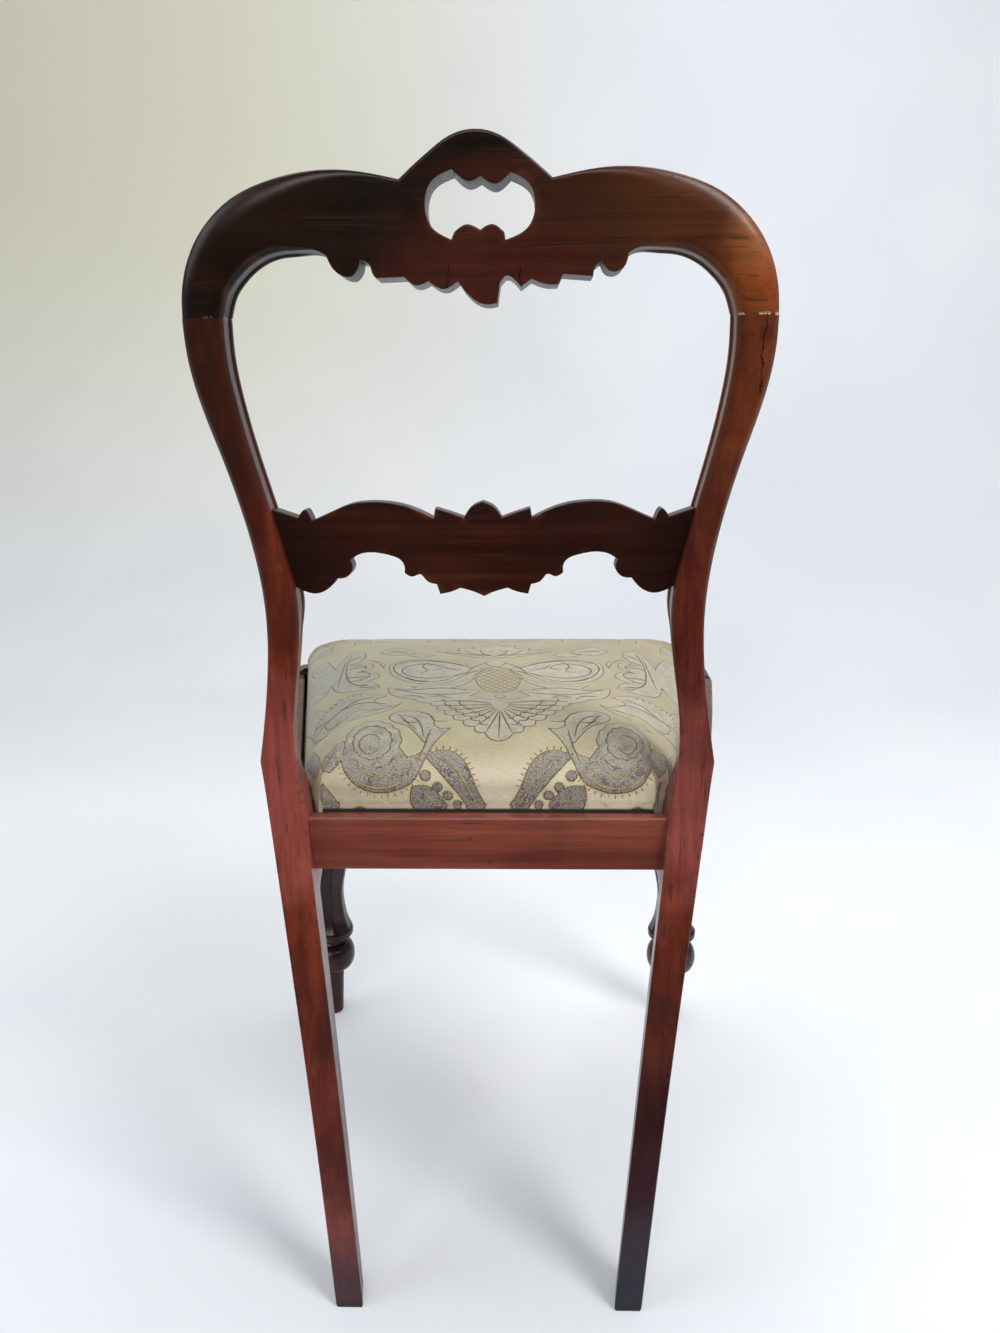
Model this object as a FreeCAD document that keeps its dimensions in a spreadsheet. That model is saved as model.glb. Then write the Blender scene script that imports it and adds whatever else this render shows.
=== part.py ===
# Balloon back chair with a lift-out upholstered seat, in millimetres.
# Z is up and the sitter faces -Y, so the camera that took the photograph stands on the +Y side.
# The origin is on the floor, under the middle of the chair's outer box.
import FreeCAD, Part
import math
import os
from FreeCAD import Placement, Rotation, Vector

doc = FreeCAD.newDocument("BalloonBackChair")
sheet = doc.addObject("Spreadsheet::Sheet", "Sizes")
sheetRows = []


def size(alias, value, note):
    """Write one driving size into the sheet and hand it back as a number."""
    sheetRows.append(alias)
    row = str(len(sheetRows))
    sheet.set("A" + row, note)
    sheet.set("B" + row, str(value))
    sheet.setAlias("B" + row, alias)
    return float(value)


# Whole chair. The rear face of the seat is the line that depths are measured from.
totalHeight = size("totalHeight", 897, "floor to the top of the crest")
crestSweep = size("crestSweep", 84, "how far the crest's top stands behind the seat")
footSweep = size("footSweep", 75, "how far the rear feet stand behind the seat")
frontReach = size("frontReach", 415, "seat's rear face to the front rail's middle")
rearY = (frontReach - crestSweep) / 2

# Back posts, seen from behind, as half widths at named heights.
footSpread = size("footSpread", 127, "centre to a rear foot's outer side")
kneeSpread = size("kneeSpread", 181.5, "centre to a post's outer side at the seat")
waistSpread = size("waistSpread", 167.5, "centre to a post's outer side at the waist")
balloonSpread = size("balloonSpread", 202.6, "centre to a post's outer side where it is widest")
kneeHeight = size("kneeHeight", 454, "height of the knee beside the seat")
waistRise = size("waistRise", 124, "knee up to the waist")
waistHeight = kneeHeight + waistRise
balloonDrop = size("balloonDrop", 125, "crest's top down to the widest place")
balloonHeight = totalHeight - balloonDrop
jointDrop = size("jointDrop", 108, "crest's top down to the glued joint")
jointHeight = totalHeight - jointDrop
footWide = size("footWide", 18.5, "rear foot, side to side")
railWide = size("railWide", 26.5, "post beside the rear rail, side to side")
waistWide = size("waistWide", 21.4, "post at the waist, side to side")
jointWide = size("jointWide", 28.7, "post at the crest joint, side to side")
footDeep = size("footDeep", 25, "rear foot, front to back")
seatDeep = size("seatDeep", 36, "post's front face in front of the seat's rear face")
postDeep = size("postDeep", 32, "post above the seat, front to back")
crestDeep = size("crestDeep", 30, "crest and post tops, front to back")

# Crest rail and its pierced hand hole.
cuspSpread = size("cuspSpread", 49, "centre to a cusp beside the crest's middle hump")
cuspDrop = size("cuspDrop", 27, "crest's top to its cusps")
shoulderDrop = size("shoulderDrop", 21, "crest's top to the top of a shoulder")
pendantSpread = size("pendantSpread", 99, "centre to the outer end of the carved lower edge")
pendantTop = size("pendantTop", 71, "crest's top to the upper end of the carved lower edge")
pendantDrop = size("pendantDrop", 30.5, "depth of the carved lower edge")
holeSpread = size("holeSpread", 35.3, "middle of the hand hole to its side")
holeTall = size("holeTall", 40, "hand hole, top to bottom")
holeTop = size("holeTop", 22, "crest's top to the hand hole's top")
dowelRadius = size("dowelRadius", 3.5, "crest dowel radius")
dowelLong = size("dowelLong", 36, "crest dowel length")

# Carved mid rail between the posts.
midRise = size("midRise", 19, "waist up to the mid rail's lower joint corner")
midTall = size("midTall", 60, "mid rail's joint, top to bottom")
midLow = waistHeight + midRise
midHigh = midLow + midTall
midDeep = size("midDeep", 18, "mid rail, front to back")
midInset = size("midInset", 9, "mid rail's rear face in front of the posts' rear face")
midTenonLong = size("midTenonLong", 12, "length of the mid rail's tenons")
midTenonDeep = size("midTenonDeep", 7, "thickness of the mid rail's tenons")

# Seat rails. The seat slopes down to the rear, as the ledge that carries it does.
rearRailDrop = size("rearRailDrop", 48, "knee down to the rear rail's top")
rearRailTop = kneeHeight - rearRailDrop
rearRailTall = size("rearRailTall", 45, "rear rail, top to bottom")
rearLipWide = size("rearLipWide", 14, "rear rail's lip behind the seat")
rearLipTall = size("rearLipTall", 16, "rear rail's lip above the ledge")
ledgeRear = rearRailTop - rearLipTall
seatRise = size("seatRise", 24, "rise of the ledge from rear to front")
lipTall = size("lipTall", 23, "side and front rails above the ledge")
lipWide = size("lipWide", 22, "width of the lip round the seat")
ledgeWide = size("ledgeWide", 19, "width of the ledge under the seat")
railTall = size("railTall", 52, "side and front rails, top to bottom")
sideFront = size("sideFront", 239, "centre to the side rail's outer face at the front")
sideBow = size("sideBow", 3, "outward bow of a side rail")
frontBow = size("frontBow", 12, "forward bow of the front rail")
tenonLong = size("tenonLong", 15, "length of a seat rail's tenons")
tenonDeep = size("tenonDeep", 9, "thickness of a seat rail's tenons")
tenonTall = size("tenonTall", 18, "height of a seat rail's tenons")

# Front legs: a square block, an eight-sided shaft, a flared rim, a ball and a peg foot.
legBlock = size("legBlock", 60, "side of the square block of a front leg")
legBlockDrop = size("legBlockDrop", 38, "ledge at the rear down to the block's lower end")
legBlockLow = ledgeRear - legBlockDrop
legCorner = size("legCorner", 22, "rounding of the block's outer corner")
shaftTop = size("shaftTop", 26, "shaft, centre to flat, under the block")
shaftSwell = size("shaftSwell", 26.5, "shaft, centre to flat, at its swelling")
shaftWaist = size("shaftWaist", 17.8, "shaft, centre to flat, at its waist")
shaftWaistHeight = size("shaftWaistHeight", 158, "height of the shaft's waist")
rimRadius = size("rimRadius", 28, "radius of the flared rim")
rimHeight = size("rimHeight", 113, "height of the rim's upper edge")
neckRadius = size("neckRadius", 17, "radius of the neck under the rim")
ballRadius = size("ballRadius", 29, "radius of the ball")
ballHeight = size("ballHeight", 78, "height of the ball's middle")
ballTall = size("ballTall", 35, "height of the ball, top to bottom")
footTopRadius = size("footTopRadius", 15, "radius of the front foot at the ball")
footRadius = size("footRadius", 12, "radius of the front foot on the floor")

# Lift-out seat, measured up from the ledge that it rests on.
seatGap = size("seatGap", 5, "gap between the seat's frame and the rails' lips")
rearGap = size("rearGap", 4, "gap between the seat's frame and the rear lip")
ledgeGap = size("ledgeGap", 0.3, "gap between the seat's cloth and the ledge")
clothThick = size("clothThick", 1.2, "thickness of the upholstery cloth")
barTall = size("barTall", 20, "seat frame's bars, top to bottom")
barWide = size("barWide", 46, "width of the seat frame's bars")
barDowelRadius = size("barDowelRadius", 4, "radius of the seat frame's dowels")
barDowelLong = size("barDowelLong", 40, "length of the seat frame's dowels")
cornerCut = size("cornerCut", 19, "width cut off the seat's rear corners, clear of the posts")
cornerBack = size("cornerBack", 34, "length cut off the seat's rear corners")
seatCorner = size("seatCorner", 18, "rounding of the seat's front corners")
crownTall = size("crownTall", 78, "seat frame's underside to the crown's top")
bulge = size("bulge", 3.5, "how far the stuffed sides swell over the frame")
swellTall = size("swellTall", 36, "seat frame's underside to where the sides swell most")
crownReach = size("crownReach", 125, "seat's side to the flattest part of its crown")
hemWide = size("hemWide", 38, "cover turned in under the frame")
webWide = size("webWide", 50, "width of a web")
webThick = size("webThick", 1.1, "thickness of a web")
hessianThick = size("hessianThick", 0.8, "thickness of the base cloth")
dustInset = size("dustInset", 34, "seat's edge to the dust cloth's edge")
dustThick = size("dustThick", 0.6, "thickness of the dust cloth")
tackRadius = size("tackRadius", 3.5, "radius of a tack's head")
tackTall = size("tackTall", 1, "height of a tack's head")

# Corner blocks and their screws.
blockTall = size("blockTall", 22, "corner block, top to bottom")
blockLeg = size("blockLeg", 46, "length of a corner block along a rail")
blockDrop = size("blockDrop", 6, "corner block's top under the ledge")
screwRadius = size("screwRadius", 1.8, "radius of a screw's shank")
screwHead = size("screwHead", 3.8, "radius of a screw's head")
screwLong = size("screwLong", 30, "length of a screw")
doc.recompute()

ledgeSlope = seatRise / (frontReach - frontBow - lipWide)
seatTilt = math.degrees(math.atan(ledgeSlope))
nodes = []


def newBody(label, place=None):
    body = doc.addObject("PartDesign::Body", "Body_" + label)
    body.Label = label
    if place is not None:
        body.Placement = place
    nodes.append(body)
    return body


def sketchOn(body, role, edges, offset=0.0):
    """Draw a closed outline on one of the body's own origin planes, moved along its normal."""
    support = [item for item in body.Origin.OriginFeatures if item.Role == role][0]
    sketch = body.newObject("Sketcher::SketchObject", "Outline")
    sketch.AttachmentSupport = [(support, "")]
    sketch.MapMode = "FlatFace"
    sketch.AttachmentOffset = Placement(Vector(0, 0, offset), Rotation())
    for edge in edges:
        sketch.addGeometry(edge, False)
    return sketch


def pad(body, sketch, length, symmetric=False):
    feature = body.newObject("PartDesign::Pad", "Pad")
    feature.Profile = sketch
    feature.SideType = "Symmetric" if symmetric else "One side"
    setSize(feature, "Length", length)
    return feature


def pocket(body, sketch, length, symmetric=True):
    """Cut an outline away and make sure that it took something."""
    doc.recompute()
    before = body.Shape.Volume
    feature = body.newObject("PartDesign::Pocket", "Pocket")
    feature.Profile = sketch
    feature.SideType = "Symmetric" if symmetric else "One side"
    setSize(feature, "Length", length)
    doc.recompute()
    if not body.Shape.Volume < before:
        raise RuntimeError(body.Label + ": a pocket cut nothing")
    return feature


def setSize(feature, name, value):
    """Bind a property to the sheet where its value is a formula, or set a plain number."""
    if isinstance(value, str):
        feature.setExpression(name, value)
    else:
        setattr(feature, name, value)


def box(body, kind, corner, lengths):
    """Add or cut a box; lengths are sheet formulas or numbers for X, Y and Z."""
    feature = body.newObject("PartDesign::" + kind + "Box", kind + "Box")
    for name, value in zip(("Length", "Width", "Height"), lengths):
        setSize(feature, name, value)
    feature.Placement = Placement(corner, Rotation())
    return feature


def drill(body, start, direction, radius, length):
    """Cut a round hole from a start point."""
    feature = body.newObject("PartDesign::SubtractiveCylinder", "Hole")
    setSize(feature, "Radius", radius)
    setSize(feature, "Height", length)
    feature.Placement = Placement(start, Rotation(Vector(0, 0, 1), direction))
    return feature


def point(pair):
    return Vector(pair[0], pair[1], 0)


def curve(*pairs):
    """A straight line through two points, or a smooth curve through more."""
    if len(pairs) == 2:
        return Part.LineSegment(point(pairs[0]), point(pairs[1]))
    spline = Part.BSplineCurve()
    spline.interpolate([point(pair) for pair in pairs])
    return spline


def arc(first, middle, last):
    return Part.Arc(point(first), point(middle), point(last))


def polygon(*pairs):
    return [curve(pairs[i - 1], pairs[i]) for i in range(len(pairs))]


def mirrored(pairs, side):
    return [(side * across, up) for across, up in pairs]


def between(low, high, share):
    return low + (high - low) * share


# Side view of the back: both curves give the depth behind the seat's rear face.
legCurveTop = kneeHeight - 14
backCurveLow = kneeHeight + 16


def rearDepth(height):
    if height < legCurveTop:
        return footSweep * (1 - height / legCurveTop) ** 1.354
    if height < backCurveLow:
        return 0.0
    return crestSweep * ((height - backCurveLow) / (totalHeight - backCurveLow)) ** 1.38


def frontDepth(height):
    """Front face of posts and crest, straight and upright where the side rail meets it."""
    straightLow = rearRailTop - rearRailTall - 12
    straightHigh = rearRailTop + 20
    if height < straightLow:
        lean = footSweep - footDeep + seatDeep
        return lean * (1 - height / straightLow) ** 1.25 - seatDeep
    if height < straightHigh:
        return -seatDeep
    share = min(1, (height - straightHigh) / (waistHeight - straightHigh))
    deep = between(seatDeep, postDeep, share)
    if height > waistHeight:
        deep = between(postDeep, crestDeep, min(1, (height - waistHeight) / (jointHeight - waistHeight)))
    return rearDepth(height) - deep


def keepBand(body, behind, front, low, high):
    """Cut a body back to the curved band of the side view."""
    outline = sketchOn(body, "YZ_Plane", backSideView(behind, front, low, high))
    pocket(body, outline, 4 * sideFront)


def backSideView(behind, front, low, high):
    """Outline that removes all but a curved band: a frame with the band's shape left out."""
    levels = sorted({low, high} | {level for level in sideLevels if low + 8 < level < high - 8})
    rear = [(rearY + behind(max(0, level)), level) for level in levels]
    ahead = [(rearY + front(max(0, level)), level) for level in levels]
    straight = [pair for pair in ahead if rearRailTop - rearRailTall - 13 < pair[1] < rearRailTop + 21]
    edges = [curve(*rear), curve(rear[-1], ahead[-1]), curve(ahead[0], rear[0])]
    if len(straight) > 1:
        below = [pair for pair in ahead if pair[1] <= straight[0][1]]
        above = [pair for pair in ahead if pair[1] >= straight[-1][1]]
        edges += [curve(*below), curve(straight[0], straight[-1]), curve(*above)]
    else:
        edges.append(curve(*ahead))
    wide = footSweep + crestSweep + 2 * seatDeep
    frame = [(rearY - wide, low - 60), (rearY + wide, low - 60)]
    frame += [(rearY + wide, high + 60), (rearY - wide, high + 60)]
    return edges + polygon(*frame)


sideLevels = [kneeHeight * share for share in (0.26, 0.5, 0.7)]
sideLevels += [rearRailTop - rearRailTall - 12, rearRailTop + 20, backCurveLow]
sideLevels += [between(backCurveLow, totalHeight, share) for share in (0.18, 0.36, 0.55, 0.75)]
bandLow = -20.0
bandHigh = totalHeight + 20


# Rear view of a post: outer and inner edges as half widths at heights.
railBottom = rearRailTop - rearRailTall
innerRailLow = between(footSpread, kneeSpread, railBottom / kneeHeight) - railWide + 3.6
innerRailHigh = innerRailLow + 2.6
innerKnee = kneeSpread - railWide + 2.8
innerMidLow = waistSpread - waistWide + 1.2
innerMidHigh = innerMidLow + 8.6
jointOuter = balloonSpread - 0.4
jointInner = jointOuter - jointWide


def postOutline(side):
    rise = balloonHeight - waistHeight
    outward = balloonSpread - waistSpread
    outer = [(waistSpread, waistHeight)]
    for up, out in ((0.26, 0.13), (0.6, 0.545), (0.87, 0.93), (1, 1)):
        outer.append((waistSpread + outward * out, waistHeight + rise * up))
    outer.append((jointOuter, jointHeight))
    knee = (kneeSpread, kneeHeight)
    kneeTop = (between(waistSpread, kneeSpread, 0.33), between(kneeHeight, waistHeight, 0.48))
    shin = (between(footSpread, kneeSpread, 0.43), 0.42 * kneeHeight)
    legLine = (between(footSpread, kneeSpread, 0.8), 0.78 * kneeHeight)
    foot = (footSpread, 0)
    innerFoot = (footSpread - footWide, 0)
    innerShin = (between(innerFoot[0], innerRailLow, 0.53), 0.52 * railBottom)
    railLow = (innerRailLow, railBottom)
    railHigh = (innerRailHigh, rearRailTop)
    kneeIn = (innerKnee, between(rearRailTop, kneeHeight, 1.35))
    waistIn = (waistSpread - waistWide, waistHeight)
    midLowIn = (innerMidLow, midLow)
    midHighIn = (innerMidHigh, midHigh)
    gape = jointHeight - midHigh
    upper = [midHighIn]
    for up, out in ((0.27, 0.46), (0.56, 0.86), (0.85, 1.05)):
        upper.append((between(innerMidHigh, jointInner, out), midHigh + gape * up))
    upper.append((jointInner, jointHeight))
    pieces = [(foot, shin, legLine, knee), (knee, kneeTop) + tuple(outer), (outer[-1], upper[-1])]
    pieces += [tuple(reversed(upper)), (midHighIn, midLowIn)]
    pieces += [(midLowIn, waistIn, kneeIn, railHigh), (railHigh, railLow), (railLow, innerShin, innerFoot)]
    pieces.append((innerFoot, foot))
    return [curve(*mirrored(piece, side)) for piece in pieces]


# Seat plan, as half widths at depths in front of the rear face.
def sideX(depth):
    """Outer face of a side rail, before its bow."""
    share = (depth - seatDeep) / (legFront - legBlock - seatDeep)
    return between(kneeSpread - 0.5, sideFront, share)


legFront = frontReach - frontBow
legX = sideFront - legBlock / 2 - 0.5
legDepth = legFront - legBlock / 2
lipInner = lipWide
frameLine = lipWide + seatGap
ledgeInner = lipWide + ledgeWide


def ledgeHeight(depth):
    return ledgeRear + ledgeSlope * (depth - rearLipWide)


def planPoint(across, depth):
    return (across, rearY - depth)


def cutAbove(body, rise):
    """Slope the top of a rail or a leg, a set rise above the ledge."""
    first = -seatDeep
    last = frontReach + seatDeep
    line = [(rearY - first, ledgeHeight(first) + rise), (rearY - last, ledgeHeight(last) + rise)]
    top = totalHeight
    outline = polygon(line[0], line[1], (line[1][0], top), (line[0][0], top))
    pocket(body, sketchOn(body, "YZ_Plane", outline), 4 * sideFront)


def cutBelow(body, drop):
    first = -seatDeep
    last = frontReach + seatDeep
    line = [(rearY - first, ledgeHeight(first) - drop), (rearY - last, ledgeHeight(last) - drop)]
    outline = polygon(line[0], line[1], (line[1][0], 0), (line[0][0], 0))
    pocket(body, sketchOn(body, "YZ_Plane", outline), 4 * sideFront)


def rebatedRail(body, fullPlan, lipPlan, low):
    """Raise a plan up to the sloping ledge, then its lip up to the sloping top."""
    tall = ledgeRear + 2 * (seatRise + lipTall) - low
    pad(body, sketchOn(body, "XY_Plane", fullPlan, low), tall)
    cutAbove(body, 0)
    pad(body, sketchOn(body, "XY_Plane", lipPlan, low + lipTall / 5), tall)
    cutAbove(body, lipTall)


# Tenons: one place for each, used by the rail and by the leg that it enters.
def rearTenon(side):
    across = innerRailLow - 4
    corner = Vector(across if side > 0 else -across - tenonLong - 4, rearY - 18, railBottom + 8)
    return corner, (tenonLong + 4, "Sizes.tenonDeep", "Sizes.tenonTall")


def sideRearTenon(side):
    across = sideX(seatDeep) - lipInner - 1
    corner = Vector(across if side > 0 else -across - tenonDeep, rearY - seatDeep - 4, railBottom + 9)
    return corner, ("Sizes.tenonDeep", tenonLong + 4, "Sizes.tenonTall")


def sideFrontTenon(side):
    across = sideX(legFront - legBlock) - lipInner - 5
    depth = legFront - legBlock
    low = ledgeHeight(depth) - 36
    corner = Vector(across if side > 0 else -across - tenonDeep, rearY - depth - tenonLong, low)
    return corner, ("Sizes.tenonDeep", tenonLong + 4, "Sizes.tenonTall")


def frontTenon(side):
    across = legX - legBlock / 2 - 4
    low = ledgeHeight(legFront) - 36
    corner = Vector(across if side > 0 else -across - tenonLong - 4, rearY - legFront + 14, low)
    return corner, (tenonLong + 4, "Sizes.tenonDeep", "Sizes.tenonTall")


def midTenon(side):
    across = innerMidLow - 3
    middle = (midLow + midHigh) / 2
    long = midTenonLong + 3 + (innerMidHigh - innerMidLow) / 2
    depth = rearDepth(middle) - midInset - midDeep / 2 - midTenonDeep / 2
    corner = Vector(across if side > 0 else -across - long, rearY + depth, middle - 14)
    return corner, (long, "Sizes.midTenonDeep", 28.0)


# Screws through the corner blocks, as start points at the heads' faces and directions.
def blockScrews(side, front):
    level = blockLevel(front) + blockTall / 2
    if front:
        first = Vector(side * (legX - legBlock / 2 - 22), rearY - legFront + ledgeInner + 13, level - 4)
        second = Vector(side * (legX - legBlock / 2 + 2), rearY - legDepth + legBlock / 2 + 24, level + 4)
        return [(first, Vector(0, -1, 0)), (second, Vector(side, 0, 0))]
    first = Vector(side * (sideX(seatDeep) - ledgeInner - 28), rearY - seatDeep - 12, level - 4)
    second = Vector(side * (sideX(seatDeep) - ledgeInner - 17), rearY - seatDeep - 17, level + 4)
    return [(first, Vector(0, 1, 0)), (second, Vector(side, 0, 0))]


def blockLevel(front):
    depth = legFront - legBlock - blockLeg if front else seatDeep
    return ledgeHeight(depth) - blockDrop - blockTall


def drillScrew(body, start, direction):
    drill(body, start, direction, "Sizes.screwRadius", "Sizes.screwLong")


# Back posts
def backPost(label, side):
    body = newBody(label)
    outline = sketchOn(body, "XZ_Plane", postOutline(side), -rearY)
    pad(body, outline, 2 * (footSweep + crestSweep + seatDeep), True)
    keepBand(body, rearDepth, frontDepth, bandLow, bandHigh)
    for tenon in (rearTenon(side), sideRearTenon(side), midTenon(side)):
        box(body, "Subtractive", tenon[0], tenon[1])
    for start in crestDowels(side):
        drill(body, start, Vector(0, 0, 1), "Sizes.dowelRadius", "Sizes.dowelLong")
    return body


def crestDowels(side):
    depth = (rearDepth(jointHeight) + frontDepth(jointHeight)) / 2
    starts = []
    for share in (0.28, 0.72):
        across = between(jointInner, jointOuter, share)
        starts.append(Vector(side * across, rearY + depth, jointHeight - dowelLong / 2))
    return starts


# Crest rail: outer edge as half widths and heights, the lower edge in shares of its own size.
def crestOuter(side):
    span = jointOuter - cuspSpread
    rise = totalHeight - shoulderDrop - jointHeight
    pairs = [(jointOuter, jointHeight)]
    for across, up in ((0.99, 0.15), (0.96, 0.34), (0.9, 0.54), (0.82, 0.7), (0.7, 0.85), (0.565, 0.94)):
        pairs.append((cuspSpread + span * across, jointHeight + rise * up))
    pairs.append((cuspSpread + span * 0.24, jointHeight + rise))
    pairs.append((cuspSpread, totalHeight - cuspDrop))
    return mirrored(pairs, side)


def crestInner(side):
    """Inside of the arch, from the joint up and over to the carved lower edge."""
    span = jointInner - pendantSpread
    low = jointHeight
    high = totalHeight - pendantTop
    pairs = [(jointInner, low)]
    arch = [(0.965, 0.21), (0.915, 0.43), (0.825, 0.65), (0.655, 0.92), (0.46, 1.07), (0.24, 1.1)]
    for across, up in arch:
        pairs.append((pendantSpread + span * across, between(low, high, up)))
    pairs.append((pendantSpread + span * 0.06, between(low, high, 1.07)))
    pairs.append((pendantSpread, high))
    return mirrored(pairs, side)


def carved(across, drop):
    """A point of the carved lower edge: shares of its half width and of its depth."""
    return (across / 100 * pendantSpread, totalHeight - pendantTop - drop / 100 * pendantDrop)


def pierced(across, up):
    """A point of the hand hole: shares of its half width and of its height from the top."""
    return (holeMiddle + across / 100 * holeSpread, totalHeight - holeTop - up / 100 * holeTall)


holeMiddle = -2.5


def crestOutline():
    hump = [(-cuspSpread, totalHeight - cuspDrop)]
    slope = [(0.83, 0.25), (0.6, 0.56), (0.29, 0.9)]
    for across, up in mirrored(slope, -1) + [(0, 1)] + slope[::-1]:
        hump.append((across * cuspSpread, totalHeight - cuspDrop + up * cuspDrop))
    hump.append((cuspSpread, totalHeight - cuspDrop))
    edges = [curve(*crestOuter(1)), curve(*hump), curve(*crestOuter(-1))]
    edges += [curve(*crestInner(1)), curve(*crestInner(-1))]
    for side in (1, -1):
        edges.append(curve((side * jointInner, jointHeight), (side * jointOuter, jointHeight)))
    lower = [
        [(100, 0), (97, 22), (91, 39), (85, 42), (80, 28), (78, 9)],
        [(78, 9), (72, 17), (70, 36), (68, 45)],
        [(68, 45), (49, 43)],
        [(49, 43), (42, 60), (33, 52)],
        [(33, 52), (23, 68), (13, 52)],
        [(13, 52), (7, 78), (-6, 100), (-13, 97)],
        [(-13, 97), (-15, 56)],
        [(-15, 56), (-19, 43), (-29, 65)],
        [(-29, 65), (-36, 49)],
        [(-36, 49), (-47, 60), (-54, 60)],
        [(-54, 60), (-57, 40)],
        [(-57, 40), (-77, 45)],
        [(-77, 45), (-78, 28), (-83, 14)],
        [(-83, 14), (-86, 31), (-93, 36), (-98, 24), (-100, 0)],
    ]
    for piece in lower:
        edges.append(curve(*[carved(across, drop) for across, drop in piece]))
    hole = [
        [(49, 0), (88, 18), (100, 50), (90, 80), (54, 100)],
        [(54, 100), (48, 89)],
        [(48, 89), (25, 78), (0, 86)],
        [(0, 86), (-22, 78), (-44, 90)],
        [(-44, 90), (-46, 101)],
        [(-46, 101), (-88, 82), (-100, 54), (-90, 22), (-56, 5)],
        [(-56, 5), (-28, 21), (-2, 10)],
        [(-2, 10), (18, 17), (49, 0)],
    ]
    for piece in hole:
        edges.append(curve(*[pierced(across, up) for across, up in piece]))
    return edges


def crestRail():
    body = newBody("crest_rail")
    pad(body, sketchOn(body, "XZ_Plane", crestOutline(), -rearY), 2 * (footSweep + crestSweep), True)
    keepBand(body, rearDepth, frontDepth, bandLow, bandHigh)
    for side in (1, -1):
        for start in crestDowels(side):
            drill(body, start, Vector(0, 0, 1), "Sizes.dowelRadius", "Sizes.dowelLong")
    return body


# Mid rail: its carved outline from the centre outwards, in shares of its half width and height.
def midPoint(across, up):
    return (across / 100 * innerMidHigh, midLow + up / 100 * (midHigh - midLow))


def midOutline():
    upper = [
        [(0, 108), (5.5, 101), (9, 88)],
        [(9, 88), (14, 93), (22.5, 100)],
        [(22.5, 100), (23.3, 87.5)],
        [(23.3, 87.5), (31, 97.5), (41.5, 106), (52, 108.5), (62, 106), (72, 96), (81.5, 85)],
        [(81.5, 85), (84.5, 99), (88, 89)],
    ]
    lower = [
        [(0, -13), (4, -8), (11.5, -2)],
        [(11.5, -2), (15, -6), (21.5, -10)],
        [(21.5, -10), (23, 3)],
        [(23, 3), (28, 8), (31, 16), (34.5, 13), (38.5, 18)],
        [(38.5, 18), (38.3, 25), (39.5, 33), (45.5, 41), (52.7, 44.5), (60, 42), (64.5, 34.7)],
        [(64.5, 34.7), (63.5, 25), (65, 16.5), (68, 11.5), (71.5, 11)],
        [(71.5, 11), (75, 0), (83, -9), (89.5, -4)],
    ]
    edges = []
    for side in (1, -1):
        for piece in upper + lower:
            edges.append(curve(*mirrored([midPoint(across, up) for across, up in piece], side)))
        high = (innerMidHigh, midHigh)
        low = (innerMidLow, midLow)
        edges.append(curve(*mirrored([midPoint(88, 89), high], side)))
        edges.append(curve(*mirrored([high, low], side)))
        edges.append(curve(*mirrored([low, midPoint(89.5, -4)], side)))
    return edges


def midRail():
    def behind(height):
        return rearDepth(height) - midInset

    def ahead(height):
        return rearDepth(height) - midInset - midDeep

    body = newBody("mid_rail")
    pad(body, sketchOn(body, "XZ_Plane", midOutline(), -rearY), 2 * (footSweep + crestSweep), True)
    keepBand(body, behind, ahead, midLow - 40, midHigh + 40)
    for side in (1, -1):
        corner, lengths = midTenon(side)
        box(body, "Additive", corner, lengths)
    return body


# Seat rails
def rearSeatRail():
    body = newBody("rear_seat_rail")
    half = [(innerRailLow, railBottom), (innerRailHigh, rearRailTop)]
    outline = polygon(*(half + mirrored(half[::-1], -1)))
    pad(body, sketchOn(body, "XZ_Plane", outline, -(rearY - 1)), seatDeep - 1)
    past = seatDeep + 9
    cut = [(rearY - rearLipWide, ledgeHeight(rearLipWide)), (rearY - past, ledgeHeight(past))]
    cut += [(rearY - past, rearRailTop + 20), (rearY - rearLipWide, rearRailTop + 20)]
    pocket(body, sketchOn(body, "YZ_Plane", polygon(*cut)), 4 * sideFront)
    for side in (1, -1):
        corner, lengths = rearTenon(side)
        box(body, "Additive", corner, lengths)
        drillScrew(body, *blockScrews(side, False)[0])
    return body


def sideSeatRail(label, side):
    front = legFront - legBlock
    middle = (seatDeep + front) / 2
    outer = [(sideX(seatDeep), seatDeep), (sideX(middle) + sideBow, middle), (sideX(front), front)]
    bowed = arc(*[planPoint(side * across, depth) for across, depth in outer])

    def plan(inner):
        ends = [(sideX(front), front), (sideX(front) - inner, front)]
        ends += [(sideX(seatDeep) - inner, seatDeep), (sideX(seatDeep), seatDeep)]
        pairs = [planPoint(side * across, depth) for across, depth in ends]
        return [bowed] + [curve(pairs[i], pairs[i + 1]) for i in range(3)]

    body = newBody(label)
    rebatedRail(body, plan(ledgeInner), plan(lipInner), ledgeRear - 2 * railTall)
    cutBelow(body, railTall - lipTall)
    for corner, lengths in (sideRearTenon(side), sideFrontTenon(side)):
        box(body, "Additive", corner, lengths)
    drillScrew(body, *blockScrews(side, False)[1])
    drillScrew(body, *blockScrews(side, True)[1])
    return body


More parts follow.
